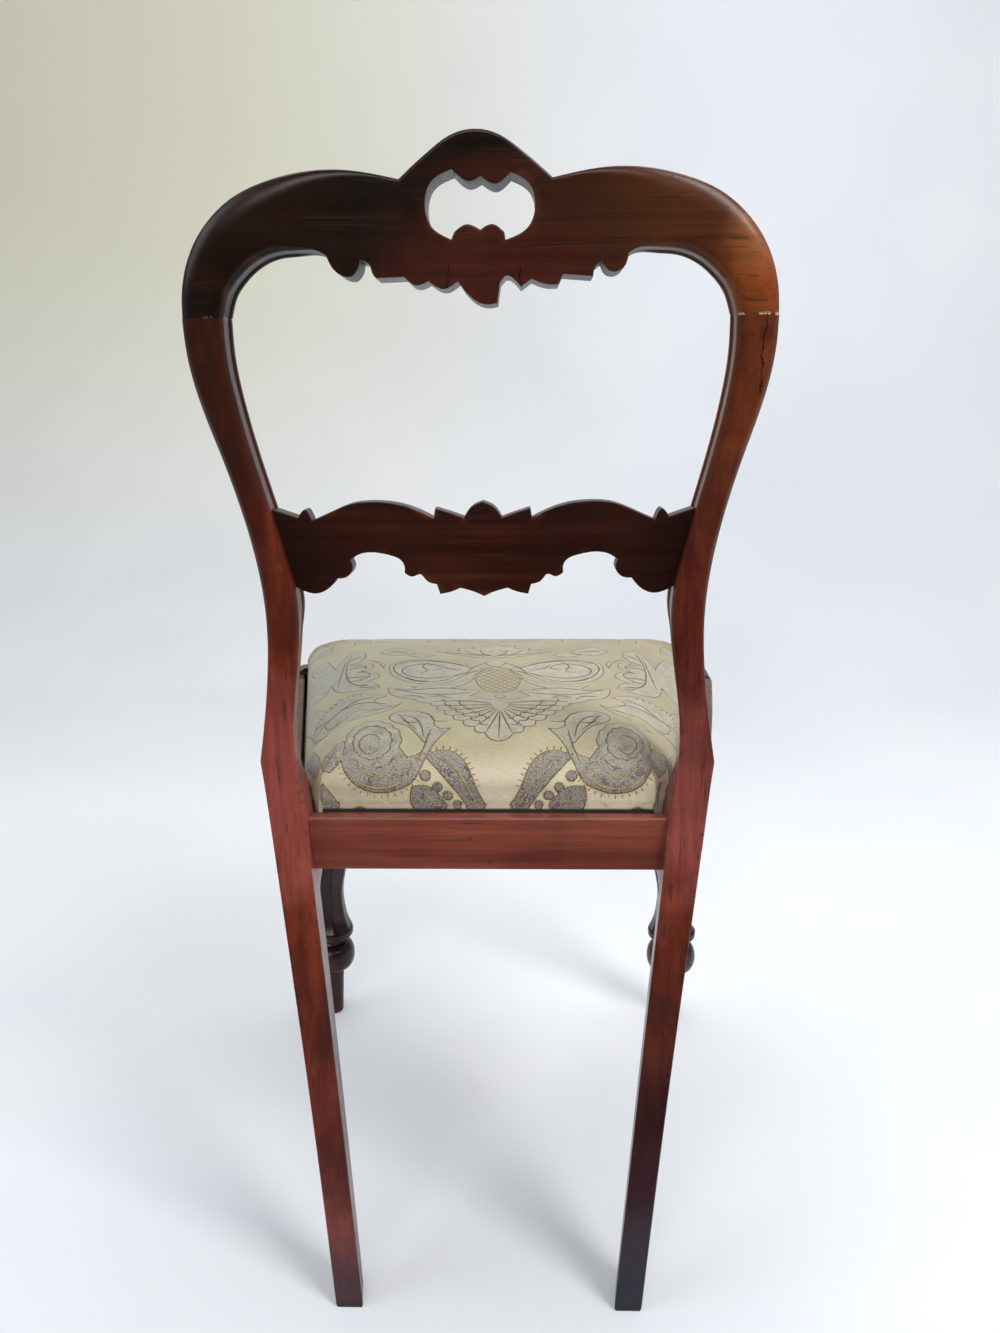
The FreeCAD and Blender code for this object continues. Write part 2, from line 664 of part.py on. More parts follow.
def frontSeatRail():
    end = legX - legBlock / 2
    outerArc = arc(planPoint(end, legFront), planPoint(0, frontReach), planPoint(-end, legFront))

    def plan(innerEnd, innerMiddle):
        inner = arc(planPoint(end, innerEnd), planPoint(0, innerMiddle), planPoint(-end, innerEnd))
        edges = [outerArc, inner]
        for side in (1, -1):
            edges.append(curve(planPoint(side * end, legFront), planPoint(side * end, innerEnd)))
        return edges

    body = newBody("front_seat_rail")
    lipPlan = plan(legFront - lipInner, frontReach - lipInner)
    inner = legFront - ledgeInner
    rebatedRail(body, plan(inner, inner - 0.01), lipPlan, ledgeRear - 2 * railTall)
    cutBelow(body, railTall - lipTall)
    for side in (1, -1):
        corner, lengths = frontTenon(side)
        box(body, "Additive", corner, lengths)
        drillScrew(body, *blockScrews(side, True)[0])
    return body


# Front legs
def frontLeg(label, side):
    body = newBody(label)
    half = legBlock / 2
    inside = (legX - half, legFront)
    corner = legCorner * (1 - math.sqrt(0.5))
    outerX = legX + half

    def plan(pairs):
        bend = [(outerX - legCorner, legFront), (outerX - corner, legFront - corner)]
        bend.append((outerX, legFront - legCorner))
        rounded = arc(*[planPoint(side * across, depth) for across, depth in bend])
        ends = [(outerX, legFront - legCorner)] + pairs + [(outerX - legCorner, legFront)]
        flat = [planPoint(side * across, depth) for across, depth in ends]
        return [rounded] + [curve(flat[i], flat[i + 1]) for i in range(len(flat) - 1)]

    rear = legFront - legBlock
    full = plan([(outerX, rear), (legX - half, rear), inside])
    opening = [(sideX(rear) - lipInner, rear), (sideX(legFront - lipInner) - lipInner, legFront - lipInner)]
    lip = plan([(outerX, rear)] + opening + [(legX - half, legFront - lipInner), inside])
    rebatedRail(body, full, lip, legBlockLow)

    # Eight-sided shaft through sections drawn one above another.
    sections = []
    for height, flat in shaftSections():
        across = flat / math.cos(math.pi / 8)
        ring = []
        for i in range(8):
            angle = math.pi / 8 + i * math.pi / 4
            outward = across * math.cos(angle)
            ring.append((side * legX + outward, rearY - legDepth + across * math.sin(angle)))
        sections.append(sketchOn(body, "XY_Plane", polygon(*ring), height))
    loft = body.newObject("PartDesign::AdditiveLoft", "Shaft")
    loft.Profile = sections[0]
    loft.Sections = sections[1:]
    loft.Ruled = False

    # Turned rim, neck, ball and foot.
    profile = sketchOn(body, "XZ_Plane", footProfile(side * legX), legDepth - rearY)
    profile.addGeometry(curve((side * legX, -10), (side * legX, totalHeight)), True)
    turned = body.newObject("PartDesign::Revolution", "Turning")
    turned.Profile = profile
    turned.ReferenceAxis = (profile, ["Axis0"])
    turned.Angle = 360
    for tenon in (sideFrontTenon(side), frontTenon(side)):
        box(body, "Subtractive", tenon[0], tenon[1])
    return body


def shaftSections():
    top = legBlockLow + 2
    rise = top - shaftWaistHeight
    levels = [(rimHeight, rimRadius * 0.93), (rimHeight + 9, rimRadius * 0.8)]
    levels += [(between(rimHeight, shaftWaistHeight, 0.55), between(shaftWaist, rimRadius, 0.14))]
    levels += [(shaftWaistHeight, shaftWaist)]
    levels += [(shaftWaistHeight + 0.21 * rise, between(shaftWaist, shaftSwell, 0.78))]
    levels += [(shaftWaistHeight + 0.55 * rise, shaftSwell), (top, shaftTop)]
    return levels


def footProfile(middle):
    """Half outline of the rim, neck, ball and foot about the leg's axis."""
    ballTop = ballHeight + ballTall / 2
    ballLow = ballHeight - ballTall / 2
    rimLow = rimHeight - 12
    join = ballRadius * 0.62

    def at(radius, height):
        return (middle + radius, height)

    flare = between(neckRadius, rimRadius, 0.6)
    return [
        curve(at(0, rimHeight), at(rimRadius, rimHeight)),
        curve(at(rimRadius, rimHeight), at(rimRadius, rimHeight - 4)),
        arc(at(rimRadius, rimHeight - 4), at(flare, rimLow + 3), at(neckRadius, rimLow)),
        curve(at(neckRadius, rimLow), at(join, ballTop)),
        arc(at(join, ballTop), at(ballRadius, ballHeight), at(join, ballLow)),
        curve(at(join, ballLow), at(footTopRadius, ballLow)),
        curve(at(footTopRadius, ballLow), at(footRadius, 0)),
        curve(at(footRadius, 0), at(0, 0)),
        curve(at(0, 0), at(0, rimHeight)),
    ]


# Corner blocks
def cornerBlock(label, side, front):
    inner = ledgeInner
    if front:
        rear = legFront - legBlock
        end = legX - legBlock / 2
        far = rear - blockLeg
        pairs = [(end - blockLeg + 6, legFront - inner), (end, legFront - inner), (end, rear)]
        pairs += [(sideX(rear) - inner, rear), (sideX(far) - inner, far)]
    else:
        start = sideX(seatDeep) - inner
        far = seatDeep + blockLeg
        pairs = [(start - blockLeg, seatDeep), (start, seatDeep), (sideX(far) - inner, far)]
    body = newBody(label)
    outline = polygon(*[planPoint(side * across, depth) for across, depth in pairs])
    pad(body, sketchOn(body, "XY_Plane", outline, blockLevel(front)), "Sizes.blockTall")
    for start, direction in blockScrews(side, front):
        drillScrew(body, start, direction)
        drill(body, start - direction * 40, direction, screwHead + 0.1, 40 + screwHead)
    return body


def screwShape(start, direction):
    head = Part.makeCone(screwHead, screwRadius, screwHead)
    shank = Part.makeCylinder(screwRadius, screwLong)
    screw = head.fuse(shank)
    screw.Placement = Placement(start, Rotation(Vector(0, 0, 1), direction))
    return screw


def group(label, shapes):
    """Identical small pieces share one node as separate solids."""
    feature = doc.addObject("Part::Feature", "Group_" + label)
    feature.Label = label
    feature.Shape = Part.makeCompound(shapes)
    nodes.append(feature)
    return feature


# Lift-out seat, drawn flat in the ledge's own plane and then tilted with it.
seatBase = Vector(0, rearY - rearLipWide, ledgeRear + ledgeGap)
seatPlace = Placement(seatBase, Rotation(Vector(1, 0, 0), -seatTilt))
frameRear = rearGap
frameFront = legFront - lipWide - rearLipWide - seatGap
frameMiddle = frameFront + frontBow
frameBottom = clothThick
frameTop = clothThick + barTall
sideLean = (sideX(200) - sideX(100)) / 100
crownSteps = 8


def frameX(depth):
    """Outer side of the seat frame at a depth in front of the rear rail's lip."""
    return sideX(depth + rearLipWide) - frameLine


def seatOutline(inset):
    """Seat plan moved in by an inset: half points from the rear middle round to the front."""
    rear = frameRear + inset
    sideBase = frameX(0) - inset * math.hypot(1, sideLean)
    # The corner's cut shortens as the plan moves in, and stays a cut at the crown.
    keep = max(0.25, 1 - inset / 46)
    cutBack = rear + cornerBack * keep
    rearX = sideBase + sideLean * rear - (cornerCut - sideLean * cornerBack) * keep
    front = frameFront - inset
    side = (sideBase + sideLean * cutBack, cutBack)
    return rear, rearX, side, (sideBase + sideLean * front, front), frameMiddle - inset


def seatEdges(inset, level):
    """Closed wire of lines and arcs with the same eight edges at every inset."""
    rear, rearX, side, corner, middle = seatOutline(inset)
    round_ = min(seatCorner, corner[0] * 0.3)
    sideEnd = (corner[0] - sideLean * round_, corner[1] - round_)
    frontEnd = (corner[0] - round_, corner[1] + (middle - corner[1]) * 0.12)
    cornerMid = (corner[0] - 0.3 * round_, corner[1] - 0.26 * round_)

    def at(pair, flip):
        return Vector(flip * pair[0], -pair[1], level)

    edges = [Part.makeLine(at((rearX, rear), -1), at((rearX, rear), 1))]
    edges.append(Part.makeLine(at((rearX, rear), 1), at(side, 1)))
    edges.append(Part.makeLine(at(side, 1), at(sideEnd, 1)))
    edges.append(Part.Arc(at(sideEnd, 1), at(cornerMid, 1), at(frontEnd, 1)).toShape())
    edges.append(Part.Arc(at(frontEnd, 1), Vector(0, -middle, level), at(frontEnd, -1)).toShape())
    edges.append(Part.Arc(at(frontEnd, -1), at(cornerMid, -1), at(sideEnd, -1)).toShape())
    edges.append(Part.makeLine(at(sideEnd, -1), at(side, -1)))
    edges.append(Part.makeLine(at(side, -1), at((rearX, rear), -1)))
    return Part.Wire(edges)


def seatSlab(inset, low, high):
    face = Part.Face(seatEdges(inset, low))
    return face.extrude(Vector(0, 0, high - low))


def crownLoft(thin, low):
    """Stuffed form: upright sides, a swell over the frame, then a crown that flattens out."""
    wires = [seatEdges(thin - clothThick, low)]
    if low < frameTop:
        wires.append(seatEdges(thin - clothThick, frameTop))
    for step in range(crownSteps + 1):
        angle = step / crownSteps * math.pi / 2
        level = swellTall + (crownTall - swellTall) * math.sin(angle)
        inset = crownReach * (1 - max(0, math.cos(angle)) ** 0.74) - bulge
        wires.append(seatEdges(inset + thin, level - thin))
    return Part.makeLoft(wires, True, True)


def seatPart(label, shape):
    feature = doc.addObject("Part::Feature", "Seat_" + label)
    feature.Label = label
    feature.Shape = shape
    feature.Placement = seatPlace
    nodes.append(feature)
    return feature


def seatFrame():
    ring = seatSlab(0, frameBottom, frameTop)
    wide = 2 * sideFront
    rearEnd = frameRear + barWide
    frontEnd = frameFront - barWide
    tall = barTall

    def window(first, last, left, right):
        return Part.makeBox(right - left, last - first, tall + 2, Vector(left, -last, frameBottom - 1))

    rearBar = ring.common(window(-50, rearEnd, -wide, wide))
    frontBar = ring.common(window(frontEnd, frameMiddle + 50, -wide, wide))
    sides = {}
    pins = []
    for side in (1, -1):
        inner = [(frameX(rearEnd) - barWide, rearEnd), (frameX(rearEnd) + 60, rearEnd)]
        inner += [(frameX(frontEnd) + 60, frontEnd), (frameX(frontEnd) - barWide, frontEnd)]
        corners = [Vector(side * across, -depth, frameBottom) for across, depth in inner]
        strip = Part.Face(Part.makePolygon(corners + corners[:1])).extrude(Vector(0, 0, tall))
        sides[side] = ring.common(strip)
        for depth in (rearEnd, frontEnd):
            for share in (0.3, 0.7):
                across = side * (frameX(depth) - barWide * share)
                start = Vector(across, -depth - barDowelLong / 2, (frameBottom + frameTop) / 2)
                pins.append(Part.makeCylinder(barDowelRadius, barDowelLong, start, Vector(0, 1, 0)))
    holes = Part.makeCompound(pins)
    seatPart("seat_rear_bar", rearBar.cut(holes))
    seatPart("seat_front_bar", frontBar.cut(holes))
    seatPart("seat_left_bar", sides[1].cut(holes))
    seatPart("seat_right_bar", sides[-1].cut(holes))
    seatPart("seat_dowels", Part.makeCompound(pins))


def webbing():
    webs = []
    reach = 12.0
    first = frameRear + barWide - reach
    last = frameFront - barWide + reach
    for across in (-1.35 * webWide, 0, 1.35 * webWide):
        start = Vector(across - webWide / 2, -last, frameTop)
        webs.append(Part.makeBox(webWide, last - first, webThick, start))
    for share in (0.2, 0.5, 0.8):
        depth = between(frameRear + barWide, frameFront - barWide, share)
        half = frameX(depth - webWide / 2) - barWide + reach
        start = Vector(-half, -depth - webWide / 2, frameTop + webThick)
        webs.append(Part.makeBox(2 * half, webWide, webThick, start))
    seatPart("seat_webbing", Part.makeCompound(webs))


def upholstery():
    clothLow = frameTop + 2 * webThick
    padLow = clothLow + hessianThick
    seatPart("base_cloth", seatSlab(barWide * 0.45, clothLow, padLow))
    seatPart("seat_stuffing", crownLoft(clothThick, padLow))
    hollow = crownLoft(clothThick, clothThick)
    opening = seatSlab(hemWide, -2, frameBottom + 2)
    seatPart("seat_cover", crownLoft(0, 0).cut(hollow).cut(opening))
    seatPart("dust_cloth", seatSlab(dustInset, -dustThick, 0))


def tackHeads():
    inset = dustInset + 5
    rear, rearX, side, corner, middle = seatOutline(inset)
    spots = []
    for share in (0.1, 0.3, 0.5, 0.7, 0.9):
        spots.append((between(-rearX, rearX, share), rear))
        spots.append((between(-corner[0] + seatCorner, corner[0] - seatCorner, share), corner[1]))
        for flip in (1, -1):
            depth = between(side[1], corner[1], share)
            spots.append((flip * between(side[0], corner[0], share), depth))
    heads = []
    for across, depth in spots:
        base = Vector(across, -depth, -dustThick - tackTall)
        heads.append(Part.makeCone(tackRadius * 0.6, tackRadius, tackTall, base))
    seatPart("dust_cloth_tacks", Part.makeCompound(heads))


# Build every piece. The sitter's left is +X, which is the left of the photograph too.
backPost("left_back_post", 1)
backPost("right_back_post", -1)
crestRail()
midRail()
rearSeatRail()
sideSeatRail("left_seat_rail", 1)
sideSeatRail("right_seat_rail", -1)
frontSeatRail()
frontLeg("left_front_leg", 1)
frontLeg("right_front_leg", -1)
screws = []
for side, word in ((1, "left"), (-1, "right")):
    for front, place in ((False, "rear"), (True, "front")):
        cornerBlock(place + "_" + word + "_block", side, front)
        for start, direction in blockScrews(side, front):
            screws.append(screwShape(start, direction))
group("block_screws", screws)
pins = []
for side in (1, -1):
    for start in crestDowels(side):
        pins.append(Part.makeCylinder(dowelRadius, dowelLong, start))
group("crest_dowels", pins)
seatFrame()
webbing()
upholstery()
tackHeads()
doc.recompute()

# Check every object and every shape before anything is written.
for item in doc.Objects:
    if "Invalid" in item.State or "Error" in item.State:
        raise RuntimeError(item.Label + " did not build: " + str(item.State))
for node in nodes:
    if node.Shape.isNull() or not node.Shape.isValid():
        raise RuntimeError(node.Label + " has a bad shape")
os.makedirs("parts", exist_ok=True)
for node in nodes:
    node.Shape.exportStep("parts/" + node.Label + ".step")
    print(node.Label, "solids", len(node.Shape.Solids), "volume", round(node.Shape.Volume / 1000, 1), "cm3")
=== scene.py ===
# Balloon back chair with a lift-out damask seat, dressed around its CAD model.
# Everything is in metres. Z is up, the sitter faces -Y and +X is the sitter's left.
import math

import bmesh
import bpy
import numpy as np
from mathutils import Matrix, Vector, geometry, kdtree


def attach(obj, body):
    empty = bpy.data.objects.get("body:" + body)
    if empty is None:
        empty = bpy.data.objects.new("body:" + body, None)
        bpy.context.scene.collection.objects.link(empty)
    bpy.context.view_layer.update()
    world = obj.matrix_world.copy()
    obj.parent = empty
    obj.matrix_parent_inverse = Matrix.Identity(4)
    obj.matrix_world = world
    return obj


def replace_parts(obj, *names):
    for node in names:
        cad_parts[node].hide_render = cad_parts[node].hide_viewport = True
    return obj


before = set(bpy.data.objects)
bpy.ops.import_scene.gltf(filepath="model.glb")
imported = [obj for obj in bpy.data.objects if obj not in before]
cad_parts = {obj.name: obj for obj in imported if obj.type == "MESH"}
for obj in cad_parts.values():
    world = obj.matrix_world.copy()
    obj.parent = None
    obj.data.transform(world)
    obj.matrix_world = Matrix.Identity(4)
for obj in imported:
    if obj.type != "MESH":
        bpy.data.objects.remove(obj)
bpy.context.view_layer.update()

print("CAD model loaded with", len(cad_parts), "nodes")

quarterTurn = math.pi / 2

# Sizes that several pieces share
chair = {
    "totalHeight": 0.897,
    "crestSweep": 0.084,      # top of the crest behind the seat's rear face
    "footSweep": 0.075,       # rear feet behind the seat's rear face
    "frontReach": 0.415,
    "kneeHeight": 0.454,
    "waistHeight": 0.578,
    "jointHeight": 0.789,     # glued joint between posts and crest
    "balloonHeight": 0.772,
    "railTop": 0.406,         # rear rail
    "railTall": 0.045,
    "midLow": 0.597,
    "midHigh": 0.657,
    "seatDeep": 0.036, "waistDeep": 0.032, "topDeep": 0.030,   # how thick the back is, front to rear
    "ledgeRear": 0.390,       # the ledge that the seat lies on, at its rear end
    "ledgeSlope": 0.024 / 0.381,
    "legFront": 0.403,        # front of the legs, ahead of the seat's rear face
}
rearY = (chair["frontReach"] - chair["crestSweep"]) / 2


# ---- Small tools for numpy shapes
def between(low, high, share):
    return low + (high - low) * share


def smoothStep(value, low, high):
    # 0 below low, 1 above high, an S curve in between
    share = np.clip((value - low) / (high - low), 0, 1)
    return share * share * (3 - 2 * share)


def splineThrough(knots, count):
    # natural cubic through the knots, spaced by the straight distance between them
    knots = np.asarray(knots, float)
    if len(knots) == 2:
        return knots[0] + np.linspace(0, 1, count)[:, None] * (knots[1] - knots[0])
    steps = np.linalg.norm(np.diff(knots, axis=0), axis=1)
    along = np.concatenate([[0], np.cumsum(steps)])
    size = len(knots)
    system = np.eye(size)
    right = np.zeros_like(knots)
    inner = np.arange(1, size - 1)
    system[inner, inner - 1] = steps[:-1]
    system[inner, inner] = 2 * (steps[:-1] + steps[1:])
    system[inner, inner + 1] = steps[1:]
    slopes = np.diff(knots, axis=0) / steps[:, None]
    right[1:-1] = 6 * np.diff(slopes, axis=0)
    bend = np.linalg.solve(system, right)
    at = np.linspace(0, along[-1], count)
    k = np.clip(np.searchsorted(along, at) - 1, 0, size - 2)
    a, b, h = (along[k + 1] - at)[:, None], (at - along[k])[:, None], steps[k][:, None]
    curve = (bend[k] * a ** 3 + bend[k + 1] * b ** 3) / (6 * h)
    return curve + (knots[k] / h - bend[k] * h / 6) * a + (knots[k + 1] / h - bend[k + 1] * h / 6) * b


def joinPieces(pieces, step):
    # one closed outline from runs of knots, each a smooth curve, with corners where they meet
    runs = []
    for piece in pieces:
        length = np.linalg.norm(np.diff(np.asarray(piece, float), axis=0), axis=1).sum()
        runs.append(splineThrough(piece, max(2, int(round(length / step)) + 1))[:-1])
    return np.vstack(runs), [len(run) for run in runs]


def outlineNormals(loop):
    # unit normals to the left of the way round, from the points on either side
    way = np.roll(loop, -1, axis=0) - np.roll(loop, 1, axis=0)
    way /= np.maximum(np.linalg.norm(way, axis=1), 1e-12)[:, None]
    return np.stack([-way[:, 1], way[:, 0]], axis=1)


def nearestEdge(points, starts, ends):
    # for each point its distance to the nearest straight edge, and which edge that is
    span = ends - starts
    square = np.maximum((span ** 2).sum(1), 1e-18)
    distance = np.empty(len(points))
    which = np.empty(len(points), int)
    for first in range(0, len(points), 1500):
        part = points[first:first + 1500]
        offset = part[:, None, :] - starts[None]
        share = np.clip((offset * span).sum(2) / square, 0, 1)
        gap = np.sqrt(((offset - share[..., None] * span) ** 2).sum(2))
        which[first:first + 1500] = gap.argmin(1)
        distance[first:first + 1500] = gap.min(1)
    return distance, which


def insideLoops(points, loops):
    # even-odd rule, so a second loop is a hole
    odd = np.zeros(len(points), bool)
    for loop in loops:
        ends = np.roll(loop, -1, axis=0)
        for first in range(0, len(points), 1500):
            part = points[first:first + 1500]
            x, y = part[:, 0, None], part[:, 1, None]
            crosses = (loop[:, 1] > y) != (ends[:, 1] > y)
            rise = np.where(ends[:, 1] == loop[:, 1], 1e-12, ends[:, 1] - loop[:, 1])
            reach = loop[:, 0] + (y - loop[:, 1]) / rise * (ends[:, 0] - loop[:, 0])
            odd[first:first + 1500] ^= (crosses & (x < reach)).sum(1) % 2 == 1
    return odd


def drawn(text):
    # runs of knots written as "across,up across,up": a slash ends one run and begins the next at the same knot
    runs = [[]]
    for word in text.split():
        if word == "/":
            runs.append([runs[-1][-1]])
        else:
            runs[-1].append(tuple(map(float, word.split(","))))
    return runs


def mirrored(run):
    # a run of points in the mirror, turned round so that it still follows on
    return [(-across, up) for across, up in run[::-1]]


def addMesh(name, points, quads=(), triangles=(), polygons=(), sharp=38):
    # a mesh object from numpy arrays, smooth except where faces meet at more than the sharp angle
    faces = [face for group in (quads, triangles) for face in np.asarray(group, int).tolist()]
    faces += [list(map(int, face)) for face in polygons]
    mesh = bpy.data.meshes.new(name)
    mesh.from_pydata(np.asarray(points, float).tolist(), [], faces)
    mesh.polygons.foreach_set("use_smooth", np.ones(len(mesh.polygons), bool))
    mesh.update()
    mesh.set_sharp_from_angle(angle=math.radians(sharp))
    piece = bpy.data.objects.new(name, mesh)
    bpy.context.scene.collection.objects.link(piece)
    return piece


def addAttribute(piece, name, values):
    layer = piece.data.attributes.new(name, "FLOAT", "POINT")
    layer.data.foreach_set("value", np.asarray(values, np.float32))


def ringFaces(rows, columns, flip=False, closed=True, start=0):
    # quads between neighbouring rings of a grid that is stored ring by ring
    width = columns if closed else columns - 1
    row, column = np.meshgrid(np.arange(rows - 1), np.arange(width), indexing="ij")
    here = row * columns + column
    beside = row * columns + (column + 1) % columns
    quads = np.stack([here, beside, beside + columns, here + columns], -1).reshape(-1, 4) + start
    return quads[:, ::-1] if flip else quads


def loftRings(name, rings, material, wear, flip=False, sharp=38):
    # closed rings of polished wood, one after another, with a flat face over each end
    rows, columns = rings.shape[:2]
    ends = [list(range(columns)), list(range((rows - 1) * columns, rows * columns))]
    ends = [ends[0], ends[1][::-1]] if flip else [ends[0][::-1], ends[1]]
    piece = addMesh(name, rings.reshape(-1, 3), ringFaces(rows, columns, flip), polygons=ends, sharp=sharp)
    addAttribute(piece, "wear", (wear + 0 * rings[..., 0]).reshape(-1))
    piece.data.materials.append(material)
    return piece


# ---- Node helpers. They all add to the node tree that was begun last.
work = {"tree": None}


def newTree(name):
    material = bpy.data.materials.new(name)
    material.use_nodes = True
    material.node_tree.nodes.clear()
    work["tree"] = material.node_tree
    return material


def setSocket(node, key, value):
    # by number, as in0, or by name; a socket given another socket is linked to it
    if key[:2] == "in" and key[2:].isdigit():
        target = node.inputs[int(key[2:])]
    else:
        wanted = key.lower().replace("_", " ")
        target = next(item for item in node.inputs if item.name.lower() == wanted)
    if isinstance(value, bpy.types.NodeSocket):
        work["tree"].links.new(value, target)
    else:
        target.default_value = value


def addNode(kind, settings=None, **sockets):
    node = work["tree"].nodes.new("ShaderNode" + kind)
    for key, value in (settings or {}).items():
        setattr(node, key, value)
    for key, value in sockets.items():
        setSocket(node, key, value)
    return node


def maths(operation, first, second=0.0):
    return addNode("Math", {"operation": operation}, in0=first, in1=second).outputs[0]


def plus(first, second):
    return maths("ADD", first, second)


def minus(first, second):
    return maths("SUBTRACT", first, second)


def times(first, second):
    return maths("MULTIPLY", first, second)


def offCentre(value, wide):
    # noise from 0 to 1 turned into a shift to both sides of 0
    return times(minus(value, 0.5), wide)


def awayFrom(value, place):
    return maths("ABSOLUTE", minus(value, place))


def mixColours(share, first, second, blend="MIX"):
    settings = {"data_type": "RGBA", "blend_type": blend}
    return addNode("Mix", settings, in0=share, in6=first, in7=second).outputs[2]


def grey(value):
    return addNode("CombineColor", in0=value, in1=value, in2=value).outputs[0]


def ramp(value, *stops):
    # a colour ramp from (place, colour) pairs
    node = addNode("ValToRGB", in0=value)
    band = node.color_ramp.elements
    while len(band) < len(stops):
        band.new(0.5)
    for element, (place, colour) in zip(band, stops):
        element.position = place
        element.color = colour
    return node.outputs[0]


def remap(value, low, high, newLow=0.0, newHigh=1.0):
    settings = {"clamp": True, "interpolation_type": "SMOOTHSTEP"}
    return addNode("MapRange", settings, in0=value, in1=low, in2=high, in3=newLow, in4=newHigh).outputs[0]


def stretched(vector, scale, turn=(0, 0, 0)):
    return addNode("Mapping", Vector=vector, Scale=scale, Rotation=turn).outputs[0]


def noise(vector, scale, detail=3.0, roughness=0.5):
    return addNode("TexNoise", Vector=vector, Scale=scale, Detail=detail, Roughness=roughness).outputs[0]


def attribute(name):
    return addNode("Attribute", {"attribute_name": name}).outputs["Fac"]


def objectPlace():
    return addNode("TexCoord").outputs["Object"]


def bumped(shader, height, strength, distance):
    bump = addNode("Bump", Height=height, Strength=strength, Distance=distance)
    setSocket(shader, "Normal", bump.outputs[0])


def finished(material, shader):
    addNode("OutputMaterial", in0=shader.outputs[0])
    return material


def srgb(red, green, blue):
    # an 8 bit screen colour as the linear colour that Blender works in
    value = np.array([red, green, blue]) / 255
    linear = np.where(value <= 0.04045, value / 12.92, ((value + 0.055) / 1.055) ** 2.4)
    return (*linear.tolist(), 1.0)


def newGroup(name, inputs, outputs):
    # sockets are given by name: the one named Vector is a vector, and the others are numbers
    group = bpy.data.node_groups.new(name, "ShaderNodeTree")
    work["tree"] = group
    for labels, direction in ((inputs, "INPUT"), (outputs, "OUTPUT")):
        for label in labels:
            kind = "NodeSocketVector" if label == "Vector" else "NodeSocketFloat"
            group.interface.new_socket(name=label, in_out=direction, socket_type=kind)
    return group, group.nodes.new("NodeGroupInput").outputs, group.nodes.new("NodeGroupOutput")


# Grain of polished mahogany. Its Vector runs along the grain in Z: long streaks from stretched
# noise, short dark pores where finer noise is low, and slow clouds of lighter and darker wood.
def makeGrain():
    group, given, result = newGroup("mahoganyGrain", ["Vector"], ["Streak", "Pore", "Cloud", "Line"])
    place = given["Vector"]
    slow = addNode("TexNoise", Vector=stretched(place, (1, 1, 0.25)), Scale=9.0, Detail=2.0).outputs["Color"]
    offset = addNode("VectorMath", {"operation": "SUBTRACT"}, in0=slow, in1=(0.5, 0.5, 0.5)).outputs[0]
    bend = addNode("VectorMath", {"operation": "SCALE"}, in0=offset, Scale=0.004).outputs[0]
    wandering = addNode("VectorMath", {"operation": "ADD"}, in0=place, in1=bend).outputs[0]
    setSocket(result, "Streak", noise(stretched(wandering, (1, 1, 0.07)), 60.0, 5.0, 0.62))
    setSocket(result, "Pore", remap(noise(stretched(wandering, (1, 1, 0.05)), 420.0, 1.0), 0.36, 0.28))
    setSocket(result, "Cloud", noise(stretched(place, (1, 1, 0.35)), 14.0, 3.0, 0.55))
    setSocket(result, "Line", noise(stretched(wandering, (1, 1, 0.02)), 240.0, 2.0))
    return group


# Marks of use: dents are dark spots of cell noise that few cells keep, scratches are thin
# stretched noise bands, and grime gathers in large soft patches.
def makeUse():
    group, given, result = newGroup("marksOfUse", ["Vector", "Dents"], ["Dent", "Scratch", "Grime"])
    place = given["Vector"]
    cells = addNode("TexVoronoi", Vector=place, Scale=58.0).outputs
    size = plus(cells["Distance"], times(noise(place, 900.0, 2.0), 0.12))
    few = maths("GREATER_THAN", addNode("SeparateColor", in0=cells["Color"]).outputs[0], 0.8)
    setSocket(result, "Dent", times(times(remap(size, 0.17, 0.1), few), given["Dents"]))
    thin = noise(stretched(place, (1, 1, 0.08), (0.9, 0.4, 0.7)), 520.0, 1.0)
    setSocket(result, "Scratch", times(remap(thin, 0.7, 0.76), remap(noise(place, 24.0, 2.0), 0.55, 0.65)))
    setSocket(result, "Grime", remap(noise(place, 7.0, 4.0, 0.6), 0.42, 0.68))
    return group


grainGroup = makeGrain()
useGroup = makeUse()


# What mahogany() uses where a piece gives nothing else
polished = {
    "dents": 0.7, "poreDepth": 0.45, "poreColour": (24, 10, 8), "grime": 0.35, "grimeColour": (30, 14, 12),
    "worn": 0.5, "wornColour": (122, 62, 34), "gloss": 0.26, "matt": 0.4, "specular": 0.4,
    "coat": 0.35, "coatRough": 0.14, "zones": (), "marks": (),
}


